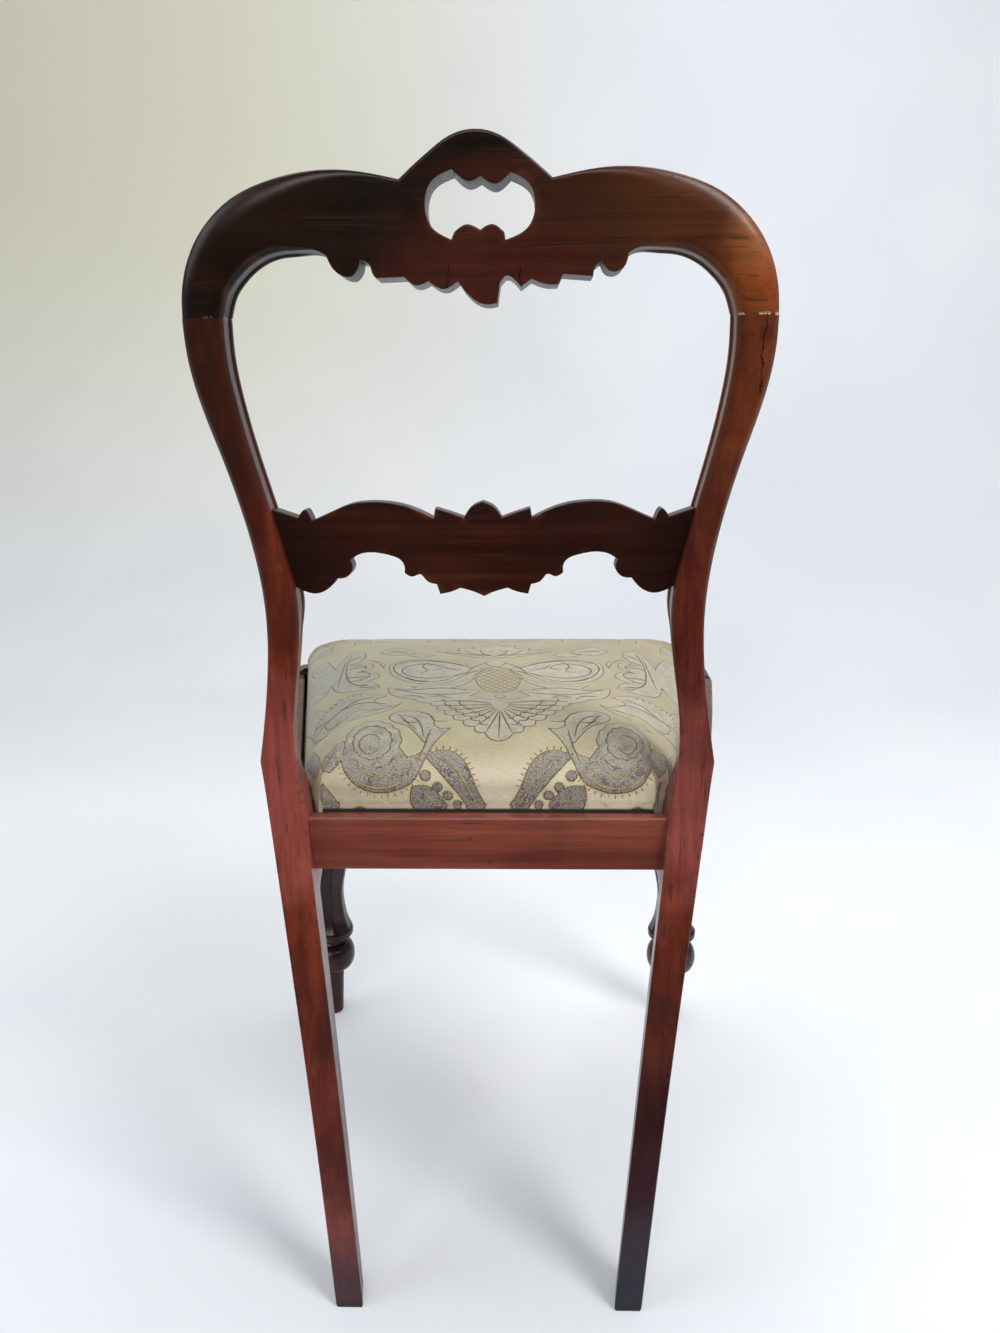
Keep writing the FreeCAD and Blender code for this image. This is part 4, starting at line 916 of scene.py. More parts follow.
# Front legs
leg = {
    "blockLow": 0.352,
    "shaftTop": 0.026, "shaftSwell": 0.0265, "shaftWaist": 0.0178, "waistHeight": 0.158,
    "rim": 0.028, "rimHeight": 0.113, "neck": 0.017,
    "ball": 0.029, "ballHeight": 0.078, "ballTall": 0.035,
    "footTop": 0.015, "foot": 0.012,
    "corner": 0.022,         # rounding of the block's outer corner
    "columns": 96,
}


def manySided(angles, normals, distances, crisp):
    # radius of a shape bounded by straight sides, softened at its corners the less crisp it is
    facing = np.clip(np.cos(angles[None, :, None] - normals), 1e-6, None) / distances[:, None, :]
    return (facing ** crisp).sum(-1) ** (-1 / crisp)


def frontLeg(name, side, material):
    # radius as a function of angle and height: square block, eight-sided shaft, then turned work
    half = rail["legBlock"] / 2
    top = ledgeHeight(chair["legFront"] - rail["legBlock"] - 0.001)
    rise = leg["blockLow"] + 0.002 - leg["waistHeight"]
    rim = leg["rim"]
    shaft = [(leg["rimHeight"], rim * 0.93), (leg["rimHeight"] + 0.009, rim * 0.8),
             (between(leg["rimHeight"], leg["waistHeight"], 0.55), between(leg["shaftWaist"], rim, 0.14)),
             (leg["waistHeight"], leg["shaftWaist"]),
             (leg["waistHeight"] + 0.21 * rise, between(leg["shaftWaist"], leg["shaftSwell"], 0.78)),
             (leg["waistHeight"] + 0.55 * rise, leg["shaftSwell"]), (leg["blockLow"] + 0.002, leg["shaftTop"])]
    shaftCurve = splineThrough(shaft, 200)
    ballHigh, ballLow = leg["ballHeight"] + leg["ballTall"] / 2, leg["ballHeight"] - leg["ballTall"] / 2
    join, flare = leg["ball"] * 0.62, between(leg["neck"], rim, 0.6)
    turnIn = np.linspace(0, math.pi, 41)
    ballRun = np.stack([join + (leg["ball"] - join) * np.sin(turnIn) ** 0.9,
                        leg["ballHeight"] + leg["ballTall"] / 2 * np.cos(turnIn)], axis=1)
    runs = [  # radius and height down the turned part
        splineThrough([(rim * 0.95, 0.1135), (rim, 0.1122), (rim * 1.0, 0.1085)], 12),
        splineThrough([(rim * 0.985, 0.1078), (rim, 0.107), (rim * 0.97, 0.1045),
                       (flare, leg["rimHeight"] - 0.0095), (leg["neck"], leg["rimHeight"] - 0.012)], 20),
        splineThrough([(leg["neck"], 0.1003), (leg["neck"] * 0.98, 0.0985), (join * 0.99, ballHigh + 0.0006)], 8),
        ballRun,
        splineThrough([(join * 0.9, ballLow - 0.0003), (leg["footTop"], ballLow - 0.001)], 4),
        splineThrough([(leg["footTop"], ballLow - 0.002), (between(leg["footTop"], leg["foot"], 0.45), 0.034),
                       (leg["foot"], 0.0015)], 60),
        np.array([(leg["foot"] * 0.985, 0.0006), (leg["foot"] * 0.93, 0.0)]),
    ]
    turned = np.vstack(runs)
    shaftLevels = np.linspace(leg["blockLow"], leg["rimHeight"] + 0.0012, 130)
    stop = np.linspace(leg["blockLow"] + 0.022, leg["blockLow"] + 0.0004, 16)
    block = np.linspace(top, leg["blockLow"] + 0.023, 8)
    heights = np.concatenate([block, stop, shaftLevels, turned[:, 1]])
    angles = np.arange(leg["columns"]) * 2 * math.pi / leg["columns"]
    eight = np.arange(8) * math.pi / 4
    # plane distances of the square block, its outer front corner cut by the rounding
    outerFront = -math.pi / 4 if side > 0 else -3 * math.pi / 4
    planes = np.concatenate([eight, [outerFront - math.pi / 8, outerFront + math.pi / 8]])
    diagonal, corner = half * math.sqrt(2), leg["corner"]
    flat = np.interp(heights, shaftCurve[:, 0], shaftCurve[:, 1])
    inBlock = heights > leg["blockLow"] + 0.0002
    chamfer = smoothStep(heights, leg["blockLow"] + 0.023, leg["blockLow"])
    distances = []
    for index, plane in enumerate(eight):
        rounded = abs(plane - outerFront % (2 * math.pi)) < 0.01
        reach = diagonal - corner * (math.sqrt(2) - 1) if rounded else diagonal * 0.985
        inside = between(reach, leg["shaftTop"] * 1.06, chamfer) if index % 2 else half
        distances.append(np.where(inBlock, inside, flat))
    beside = (half - corner) * (math.cos(math.pi / 8) + math.sin(math.pi / 8)) + corner
    distances += [np.where(inBlock, beside, 1.0)] * 2
    radius = manySided(angles, planes, np.stack(distances, axis=1), 70.0)
    radius[-len(turned):] = turned[:, :1]
    across = side * legX + radius * np.cos(angles)
    depth = rearY - legDepth + radius * np.sin(angles)
    # the block's top follows the sloping ledge
    level = np.broadcast_to(heights[:, None], across.shape).copy()
    level[0] = ledgeHeight(rearY - depth[0])
    rings = np.stack([across, depth, level], axis=-1)
    wear = np.exp(-heights / 0.01) + np.exp(-((heights - leg["ballHeight"]) / 0.006) ** 2) * 0.6
    piece = loftRings(name + "Turned", rings, material, np.clip(wear, 0, 1)[:, None], flip=True, sharp=30)
    lip = legLip(name + "Lip", side, material)
    return joinObjects(name, [piece, lip])


def legLip(name, side, material):
    # the block's upper part round the seat's corner: its outline drawn in plan, raised and rounded over
    half, front = rail["legBlock"] / 2, chair["legFront"]
    rear = front - rail["legBlock"]
    lip = rail["lipWide"]
    outerX = legX + half
    plan = [(outerX, rear), (sideX(rear) - lip, rear), (sideX(front - lip) - lip, front - lip),
            (legX - half, front - lip), (legX - half, front), (outerX, front)]
    loop = roundCorners(plan, [0.0008, 0.0008, 0.0015, 0.0008, 0.0008, leg["corner"]], 9)
    area = np.sum(loop[:, 0] * np.roll(loop[:, 1], -1) - np.roll(loop[:, 0], -1) * loop[:, 1])
    loop = loop if area > 0 else loop[::-1]
    inward = outlineNormals(loop)
    turn = np.linspace(0, quarterTurn, 6)
    radius = 0.0022
    insets = np.concatenate([[0.0015, 0], radius * (1 - np.cos(turn))])
    drops = np.concatenate([[rail["lipTall"] + 0.006, rail["lipTall"]], radius * (1 - np.sin(turn))])
    rings = []
    for inset, drop in zip(insets, drops):
        at = loop + inward * inset
        level = ledgeHeight(at[:, 1]) + rail["lipTall"] - drop
        rings.append(np.stack([side * at[:, 0], rearY - at[:, 1], level], axis=1))
    return loftRings(name, np.array(rings), material, smoothStep(-drops, -0.006, 0.0)[:, None], flip=side > 0)


def joinObjects(name, pieces):
    # several closed shells as one object
    bpy.ops.object.select_all(action="DESELECT")
    for piece in pieces:
        piece.select_set(True)
    bpy.context.view_layer.objects.active = pieces[0]
    bpy.ops.object.join()
    pieces[0].name = name
    pieces[0].data.name = name
    return pieces[0]


# ---- Drop-in seat
# Its own coordinates are across, depth ahead of the rear rail's lip, and height above the ledge.
cushion = {
    "lipRear": 0.014, "lift": 0.0003, "frameLine": 0.027, "rearGap": 0.004,
    "cut": 0.019, "cutBack": 0.034,   # what the rear corners lose, clear of the posts
    "corner": 0.018,
    "front": 0.362, "middle": 0.374,
    "cloth": 0.0012, "swell": 0.0035, "swellTall": 0.036, "frameTall": 0.0212, "padLow": 0.0246,
    "crownTall": 0.0725, "crownReach": 0.125, "crownBend": 0.74,
    "hem": 0.038,
    "cells": 248, "wallRows": 16,
    "simCell": 4, "pressure": 4.0, "frames": 20, "cap": 0.0045,
    "creases": ((0.081, 0.0016), (-0.099, 0.0014), (-0.119, 0.0018), (0.03, 0.0022)),   # place and half width
}
seatTilt = math.atan(chair["ledgeSlope"])
sideLean = (sideX(0.2) - sideX(0.1)) / 0.1


def seatPlace(points):
    across, depth, height = np.moveaxis(np.asarray(points, float), -1, 0)
    ahead = rearY - cushion["lipRear"] - depth * math.cos(seatTilt) + height * math.sin(seatTilt)
    up = chair["ledgeRear"] + cushion["lift"] + depth * math.sin(seatTilt) + height * math.cos(seatTilt)
    return np.stack([across, ahead, up], axis=-1)


def arcThrough(start, middle, end, count):
    # points on the circle through three points
    a, b, c = (complex(*point) for point in (start, middle, end))
    w = (c - a) / (b - a)
    centre = a + (b - a) * (w - abs(w) ** 2) / (2j * w.imag)
    first, last = (math.atan2((p - centre).imag, (p - centre).real) for p in (a, c))
    turn = (last - first + math.pi) % (2 * math.pi) - math.pi
    along = centre + abs(a - centre) * np.exp(1j * (first + turn * np.linspace(0, 1, count)))
    return np.stack([along.real, along.imag], axis=1)


def seatHalf(inset):
    # right half of the seat's plan in three runs: rear, side and front, cut in the middle of its corners
    rear = cushion["rearGap"] + inset
    base = sideX(cushion["lipRear"]) - cushion["frameLine"] - inset * math.hypot(1, sideLean)
    keep = max(0.25, 1 - inset / 0.046)
    cutDepth = rear + cushion["cutBack"] * keep
    rearX = base + sideLean * rear - (cushion["cut"] - sideLean * cushion["cutBack"]) * keep
    front, middle = cushion["front"] - inset, cushion["middle"] - inset
    cornerX = base + sideLean * front
    size = cushion["corner"]
    sideEnd = (cornerX - sideLean * size, front - size)
    frontEnd = (cornerX - size, front + (middle - front) * 0.12)
    corner = arcThrough(sideEnd, (cornerX - 0.3 * size, front - 0.26 * size), frontEnd, 21)
    bow = arcThrough(frontEnd, (0, middle), (-frontEnd[0], frontEnd[1]), 61)[:31]
    rearCorner = ((rearX + base + sideLean * cutDepth) / 2, (rear + cutDepth) / 2)
    rearRun = [(0, rear), (rearX, rear), rearCorner]
    sideRun = [rearCorner, (base + sideLean * cutDepth, cutDepth), *corner[:11]]
    frontRun = [*corner[10:], *bow[1:]][::-1]
    return np.array(rearRun), np.array(sideRun), np.array(frontRun)


def alongRun(run, shares):
    length = np.concatenate([[0], np.cumsum(np.linalg.norm(np.diff(run, axis=0), axis=1))])
    return np.stack([np.interp(shares * length[-1], length, run[:, axis]) for axis in (0, 1)], axis=1)


def crownShares():
    # spacing of rows and columns that is even along the crown's curve and so closer near the edge
    half = 0.185
    inset = np.linspace(0, cushion["crownReach"], 3000)
    curve = np.clip(1 - inset / cushion["crownReach"], 0, 1) ** (1 / cushion["crownBend"])
    height = (cushion["crownTall"] - cushion["swellTall"]) * np.sqrt(1 - curve ** 2)
    length = np.concatenate([[0], np.cumsum(np.hypot(np.diff(inset), np.diff(height)))])
    inset, length = np.append(inset, half), np.append(length, length[-1] + half - cushion["crownReach"])
    even = np.linspace(0, length[-1], cushion["cells"] // 2 + 1)
    share = np.interp(even, length, inset) / half / 2
    return np.concatenate([share, 1 - share[-2::-1]])


def seatEdges(inset, shares):
    # rear, front, left and right edges of the plan at an inset, spaced by the shares
    rearRun, sideRun, frontRun = seatHalf(inset)
    signed = 2 * shares - 1
    flip = np.stack([np.where(signed < 0, -1.0, 1.0), np.ones_like(signed)], axis=1)
    rear, front = (alongRun(run, np.abs(signed)) * flip for run in (rearRun, frontRun))
    right = alongRun(sideRun, shares)
    return rear, front, right * (-1, 1), right


def seatLoop(inset, shares):
    rear, front, left, right = seatEdges(inset, shares)
    return np.vstack([rear[:-1], right[:-1], front[:0:-1], left[:0:-1]])


def crownGrid(shares):
    # plan filled in between its four edges, raised by a crown that flattens out from the edge inwards
    rear, front, left, right = seatEdges(-cushion["swell"], shares)
    u, v = shares[None, :, None], shares[:, None, None]
    corners = (1 - u) * (1 - v) * rear[0] + u * (1 - v) * rear[-1] + (1 - u) * v * front[0] + u * v * front[-1]
    plan = (1 - v) * rear[None] + v * front[None] + (1 - u) * left[:, None] + u * right[:, None] - corners
    flat = plan.reshape(-1, 2)
    loop = seatLoop(-cushion["swell"], shares)[::2]
    edge = nearestEdge(flat, loop, np.roll(loop, -1, axis=0))[0]
    base = sideX(cushion["lipRear"]) - cushion["frameLine"]
    gaps = [flat[:, 1] - cushion["rearGap"], cushion["front"] + 0.008 - flat[:, 1],
            base + sideLean * flat[:, 1] - np.abs(flat[:, 0])]
    curve = [np.clip(1 - (gap + cushion["swell"]) / cushion["crownReach"], 0, 1) ** (1 / cushion["crownBend"])
             for gap in (*gaps, edge - cushion["swell"])]
    blended = np.clip(sum(part ** 8 for part in curve[:3]) ** (1 / 8), 0, 1)
    curve = between(curve[3], blended, smoothStep(edge, 0.008, 0.05))
    level = cushion["swellTall"] + (cushion["crownTall"] - cushion["swellTall"]) * np.sqrt(1 - curve ** 2)
    return np.concatenate([plan, level.reshape(*plan.shape[:2], 1)], axis=2)


def seatWall(shares):
    # rings from the widest line down the side, in under the frame, back out and up to the padding's underside
    levels = np.linspace(cushion["swellTall"], 0, cushion["wallRows"] + 1)[1:]
    swell = smoothStep(levels, cushion["frameTall"] - 0.002, cushion["swellTall"])
    insets = -cushion["cloth"] - (cushion["swell"] - cushion["cloth"]) * swell
    insets[-1] += 0.0006
    under = [(0.001, 0.0), (cushion["hem"], 0.0), (cushion["hem"], cushion["cloth"] - 0.0002),
             (-0.0002, cushion["cloth"] - 0.0002), (-0.0002, cushion["frameTall"]), (-0.0002, cushion["padLow"])]
    rings = []
    for inset, level in [*zip(insets, levels), *under]:
        plan = seatLoop(inset, shares)
        rings.append(np.concatenate([plan, np.full((len(plan), 1), level)], axis=1))
    return np.array(rings)


def edgeIndex(size):
    # numbers of the grid's outer points, in the order of seatLoop
    last = size - 1
    rows, columns = np.arange(size), np.arange(size)
    return np.concatenate([columns[:-1], rows[:-1] * size + last, last * size + columns[:0:-1], rows[:0:-1] * size])


def cushionFaces(size, wallRows):
    grid = ringFaces(size, size, closed=False)
    around = edgeIndex(size)
    count, first = len(around), size * size
    wall = ringFaces(wallRows, count, True, start=first)
    place = np.arange(count)
    seam = np.stack([around, np.roll(around, -1), first + (place + 1) % count, first + place], axis=-1)
    last = first + (wallRows - 1) * count
    return np.vstack([grid[:, ::-1], wall, seam[:, ::-1]]), [list(range(last, last + count))]


def clothPlaces(crown, wall, shares):
    # where each point lies on the flat cloth: across from the middle, and up from the rear edge
    steps = np.linalg.norm(np.diff(crown, axis=1), axis=2)
    middle = len(shares) // 2
    across = np.concatenate([np.zeros((len(crown), 1)), np.cumsum(steps, axis=1)], axis=1)
    across -= across[:, middle:middle + 1]
    steps = np.linalg.norm(np.diff(crown, axis=0), axis=2)
    up = np.concatenate([np.zeros((1, crown.shape[1])), np.cumsum(steps, axis=0)]) - 0.02
    around = edgeIndex(len(shares))
    loop = crown.reshape(-1, 3)[around, :2]
    away = -outlineNormals(loop)
    away *= np.sign((away * (loop - (0, 0.19))).sum(1).mean())
    drop = cushion["swellTall"] - wall[:, :, 2]
    wallAcross = across.reshape(-1)[around] + away[:, 0] * drop
    wallUp = up.reshape(-1)[around] + away[:, 1] * drop
    return np.stack([across, up], axis=2), np.stack([wallAcross, wallUp], axis=2)


def spreadOut(coarse, cell, periodic):
    # values on every few rows and columns, filled in straight between them and then smoothed
    rows = np.arange((coarse.shape[0] - 1) * cell + 1) / cell
    low = np.clip(rows.astype(int), 0, coarse.shape[0] - 2)
    part = (rows - low)[:, None, None]
    grown = coarse[low] * (1 - part) + coarse[low + 1] * part
    if periodic:
        grown = np.concatenate([grown, grown[:, :1]], axis=1)
    columns = np.arange((grown.shape[1] - 1) * cell + 1) / cell
    low = np.clip(columns.astype(int), 0, grown.shape[1] - 2)
    part = (columns - low)[None, :, None]
    grown = grown[:, low] * (1 - part) + grown[:, low + 1] * part
    return grown[:, :-1] if periodic else grown


def puffedUp(crown, wall):
    # how far each point moves when the padding presses the cloth out: a cloth simulation of every fourth row
    cell = cushion["simCell"]
    rows = cushion["wallRows"] // cell
    coarseCrown = crown[::cell, ::cell]
    coarseWall = wall[cell - 1:cell * rows:cell, ::cell]
    points = seatPlace(np.vstack([coarseCrown.reshape(-1, 3), coarseWall.reshape(-1, 3)]))
    quads, caps = cushionFaces(len(coarseCrown), rows)
    cloth = addMesh("cushionCloth", points, quads, polygons=caps)
    held = cloth.vertex_groups.new(name="frame")
    onCrown = len(coarseCrown) ** 2
    level = np.concatenate([np.ones(onCrown), coarseWall[:, :, 2].reshape(-1)])
    held.add(np.nonzero(level < cushion["frameTall"])[0].tolist(), 1.0, "REPLACE")
    modifier = cloth.modifiers.new("Cloth", "CLOTH")
    modifier.settings.quality = 6
    modifier.settings.use_pressure = True
    modifier.settings.uniform_pressure_force = cushion["pressure"]
    modifier.settings.vertex_group_mass = "frame"
    modifier.settings.effector_weights.gravity = 0
    modifier.collision_settings.use_collision = False
    scene = bpy.context.scene
    for number in range(1, cushion["frames"] + 1):
        scene.frame_set(number)
    shown = cloth.evaluated_get(bpy.context.evaluated_depsgraph_get()).to_mesh()
    settled = np.empty(len(points) * 3)
    shown.vertices.foreach_get("co", settled)
    move = settled.reshape(-1, 3) - points
    bpy.data.objects.remove(cloth)
    scene.frame_set(1)
    length = np.maximum(np.linalg.norm(move, axis=1), 1e-9)
    print("Cushion simulated, moved up to", round(float(length.max()) * 1000, 1), "mm before the cap")
    move *= (cushion["cap"] * np.tanh(length / cushion["cap"]) / length)[:, None]
    crownMove = move[:onCrown].reshape(*coarseCrown.shape)
    edge = move[edgeIndex(len(coarseCrown))]
    wallMove = np.concatenate([edge[None], move[onCrown:].reshape(rows, -1, 3)])
    # nothing moves where the cloth is tacked to the frame, and the swell above it starts gently
    fade = smoothStep(wall[:cushion["wallRows"], 0, 2], cushion["frameTall"] - 0.004, cushion["swellTall"])
    return spreadOut(crownMove, cell, False), spreadOut(wallMove, cell, True)[1:] * fade[:, None, None]


# The damask is a common kind of woven pattern: a vase of trellis under a bud, with leaves, a fan and
# scrolled flowers, drawn here as closed outlines in millimetres, from the pattern's axis outwards and
# up the cloth from the cushion's rear edge. Tone runs from 0, pale, to 1, dark.
damask = {
    "repeat": 330.0, "mirror": 168.0, "axis": -9.0, "axisLean": 0.07,
    "below": 42.0,           # how much of a repeat hangs below its own start
    "reach": 7.0,            # distances to an outline are kept up to here
    "vase": 2,               # which of the motifs holds the trellis
}


def bothSides(runs):
    # an outline given from the axis round to the axis, completed by its mirror image
    return runs + [mirrored(run) for run in runs[::-1]]


def disc(across, up, wide, tall):
    turn = np.linspace(0, 2 * math.pi, 13)
    return [[(across + wide * math.cos(t), up + tall * math.sin(t)) for t in turn]]


def scallops(places, deep):
    # small round lobes from each place to the next, swelling to the left of the way
    return [[(x0, y0), ((x0 + x1) / 2 - deep * (y1 - y0), (y0 + y1) / 2 + deep * (x1 - x0)), (x1, y1)]
            for (x0, y0), (x1, y1) in zip(places[:-1], places[1:])]


def drawnIn(places, centre, share):
    # the same places nearer to a centre
    return [(centre[0] + share * (x - centre[0]), centre[1] + share * (y - centre[1])) for x, y in places]


def fringe(knots, count, long):
    # short stitches standing out to the left of a curve
    curve = splineThrough(knots, count)
    way = np.gradient(curve, axis=0)
    out = np.stack([-way[:, 1], way[:, 0]], axis=1) / np.linalg.norm(way, axis=1)[:, None]
    return [[tuple(spot + 0.6 * side), tuple(spot + long * side)] for spot, side in zip(curve, out)]


fanEdge = [(62, 105), (61, 94), (55, 83), (48, 73), (40, 63), (31, 53), (21, 43), (12, 34)]
flowerEdge = [(84, 20), (84, 31), (90, 41), (99, 49), (110, 52), (121, 48), (128, 39), (131, 28), (129, 16),
              (122, 6), (111, 0), (99, -1), (89, 6), (84, 20)]
leafEdge = [(141, 223), (127, 217), (123, 201), (134, 190), (119, 184), (115, 170), (128, 160)]

motifs = [
    (0.15, disc(0, 208, 9.5, 10)),  # bud
    (0.15, bothSides(drawn("0,226 16,228 34,236 60,249 / 46,254 35,250 / 36,262 22,260 / 20,272 10,266 / "
                           "6,274 0,279"))),  # palmette
    (0.0, bothSides(drawn("0,118 10,122 18,137 21,156 17,173 10,184 5,190 / 0,187"))),  # trellis vase
    (0.2, drawn("13,188 30,207 56,221 80,226 98,219 106,203 / 104,180 92,157 75,145 57,144 41,156 28,175 "
                "13,188")),
    (0.3, drawn("18,122 38,129 60,136 82,130 104,136 / 101,119 90,105 79,101 / 70,92 58,91 50,98 / 40,98 "
                "28,108 18,122")),
    (0.35, bothSides(drawn("0,98 12,100 24,107 42,112 62,105") + scallops(fanEdge, 0.36)
                     + drawn("12,34 8,27 0,24"))),  # fan
    (0.0, disc(0, 107, 4.5, 4.5)), (0.0, disc(0, 90, 4.5, 3.2)),
    (0.25, drawn("84,138 64,126 44,132 30,145 21,164 / 34,152 48,142 84,138")),
    (0.2, drawn("60,236 76,230 88,236 / 76,244 60,236")),
    (0.3, drawn("112,196 118,214 132,228 / 122,222 112,212 112,196")),
    (0.5, drawn("88,92 100,74 118,66 138,62 / 122,74 106,78 88,92")),
    (0.4, drawn("52,104 68,118 86,112 / 72,108 52,104")),
    (0.2, drawn("80,246 93,238 108,240 118,251 / 108,263 94,262 80,246")),
    (0.45, drawn("112,139 127,136 143,141 157,152 166,172 / 170,200 165,235 152,264 / 139,258 133,241 141,223 "
                 "/ 127,217 123,201 134,190 / 119,184 115,170 128,160 / 118,152 112,139")),
    (0.55, drawn("95,85 112,79 128,83 142,73 / 158,58 170,38 176,18 / 184,60 180,95 165,120 / 150,129 128,127 "
                 "103,112 / 114,105 111,94 95,85")),
    (0.6, drawn("56,43 57,56 66,68 80,73 / 92,69 96,58 88,49 / 79,44 71,34 63,22 / 57,32 56,43")),
    (0.65, drawn("41,41 50,40 56,46 / 60,30 66,12 76,8 / 72,-2 66,-8 / 60,8 52,25 41,41")),
    (0.55, scallops(flowerEdge, 0.2)),  # flower
    (0.85, drawn("66,-8 70,-14 80,-20 96,-24 114,-19 127,-6 134,9 / 125,13 113,2 99,-2 88,6 84,20 / 76,8 "
                 "66,-8")),
    (0.75, drawn("134,28 148,20 153,4 147,-5 141,-7 / 135,0 131,13 134,28")),
    (0.8, drawn("168,30 158,20 156,2 163,-10 168,-14 / 170,10 168,30")),
    (1.0, drawn("61,8 49,15 35,11 24,-4 16,-24 6,-41 / 14,-45 23,-43 / 33,-25 46,-9 61,8")),
    (1.0, disc(60, -9, 4.6, 4.6)), (1.0, disc(50, -18.5, 4.0, 4.2)), (1.0, disc(41.5, -26, 4.4, 4.2)),
    (1.0, disc(34, -35, 3.7, 4.4)), (1.0, disc(29, -45, 3.4, 3.8)),
    (0.95, drawn("71,-18 58,-18 46,-29 36,-48 / 50,-52 68,-50 / 73,-34 71,-18")),
    (0.9, drawn("146,-16 153,-30 151,-46 / 141,-49 132,-45 / 136,-28 146,-16")),
    (0.9, disc(117, -50, 15, 14)),
]

# Fine gold and brown cords of the pattern, inside its outlines
veins = [drawn(part)[0] for part in (
    "20,184 40,170 64,161 86,170 92,190 78,205 60,203 54,192 63,186; 24,194 50,211 78,216 96,207; 34,186 "
    "48,192 54,204; 66,152 80,156 88,166; 22,190 34,203 57,216 79,220 95,213 101,202 99,182 88,162 74,151 "
    "58,151 44,161 34,176; 0,196 9,191 16,180 24,166; 30,126 58,131 84,126 98,131; 44,52 56,53 60,62 70,70; "
    "90,66 84,58 78,48 70,38; 66,212 72,196 68,184 74,178; 9,210 18,200 26,186 30,170; 26,119 50,113 76,117 "
    "97,130; 46,103 54,109 64,104; 68,101 76,109 88,110; 8,90 30,95 60,94; 7,86 28,85 54,83; 6,83 26,77 "
    "47,73; 5,80 22,69 39,63; 4,77 17,62 30,53; 3,74 11,56 20,43; 1,71 6,50 11,35; 0,70 0,28; 0,232 10,240 "
    "14,256; 4,234 22,242 30,253; 10,232 30,240 50,247; 88,247 98,250 110,250; 117,143 138,156 150,184 "
    "153,225 150,252; 149,182 138,178 124,173; 153,210 142,208 130,205; 152,236 146,238 139,243; 140,160 "
    "134,152 124,150; 101,90 126,101 150,97 172,58; 150,97 138,108 116,112; 163,80 156,68 146,76; 64,30 68,48 "
    "78,61 88,62; 70,50 78,50 84,53; 58,40 62,20 68,2; 100,19 108,12 117,18 116,29 106,32 101,27; 72,-8 "
    "82,-16 96,-20 112,-16 126,-3; 160,170 158,200 156,240; 133,148 128,143 119,141; 147,170 140,168 131,164; "
    "151,222 146,222 141,225; 174,40 166,52 156,56; 178,70 170,84 158,90; 142,17 144,6 141,-2; 52,8 39,0 "
    "27,-16 17,-36; 62,-24 54,-32 48,-46"
).split(";")] + scallops(drawnIn(fanEdge, (0, 92), 0.8), 0.36) + scallops(drawnIn(fanEdge, (0, 88), 0.58), 0.36) \
  + scallops(drawnIn(flowerEdge, (108, 26), 0.68), 0.24) + scallops(drawnIn(leafEdge, (156, 195), 0.75), -0.2) \
  + scallops([(72, -3), (79, -9), (88, -12), (98, -12), (108, -9), (117, -3), (124, 6)], 0.42) \
  + fringe([(134, 9), (127, -6), (114, -19), (96, -24), (80, -20), (68, -11)], 17, 4.6) \
  + fringe([(18, -18), (24, -4), (35, 11), (49, 15), (60, 9)], 13, 4.0) \
  + fringe([(178, 50), (176, 90), (165, 119), (150, 128), (130, 127)], 16, 4.0)


def patternAxis(up):
    # the axis leans to one side from 100 mm up the cloth to 250 mm
    return damask["axis"] + damask["axisLean"] * np.clip(up - 100, 0, 150)


def patternPlace(cloth):
    # cloth coordinates, in metres, as distance from the nearest axis and height within a repeat
    across, up = cloth[:, 0] * 1000, cloth[:, 1] * 1000
    away = np.abs(across - patternAxis(up))
    away = np.where(away > damask["mirror"], 2 * damask["mirror"] - away, away)
    return np.stack([away, np.where(up > damask["repeat"] - damask["below"], up - damask["repeat"], up)], axis=1)


def damaskFields(cloth):
    # signed distance to the outlines, positive inside, with the tone of the nearest and a mask for the trellis
    place = patternPlace(cloth)
    edge = np.full(len(place), -damask["reach"])
    tone = np.zeros(len(place))
    net = np.zeros(len(place))
    for number, (shade, runs) in enumerate(motifs):
        loop = joinPieces(runs, 2.0)[0]
        near = ((place > loop.min(0) - damask["reach"]) & (place < loop.max(0) + damask["reach"])).all(1)
        spots = np.nonzero(near)[0]
        if not len(spots):
            continue
        distance = nearestEdge(place[spots], loop, np.roll(loop, -1, axis=0))[0]
        signed = np.where(insideLoops(place[spots], [loop]), distance, -distance)
        better = signed > edge[spots]
        edge[spots[better]] = signed[better]
        tone[spots[better]] = shade
        if number == damask["vase"]:
            net[spots] = smoothStep(signed, 0.2, 1.2)
    return edge, tone, net


def nearbySurface(tree, cloth, places, spots):
    # points and outward directions of the cushion at places on its cloth, from a flat fit to the nearest points
    points, normals = [], []
    for spot in spots:
        near = [item[1] for item in tree.find_n((spot[0], spot[1], 0), 9)]
        offset = np.column_stack([np.ones(len(near)), cloth[near] - spot])
        fit = np.linalg.lstsq(offset, places[near], rcond=None)[0]
        normal = np.cross(fit[1], fit[2])
        points.append(fit[0])
        normals.append(normal / max(np.linalg.norm(normal), 1e-12))
    return np.array(points), np.array(normals)


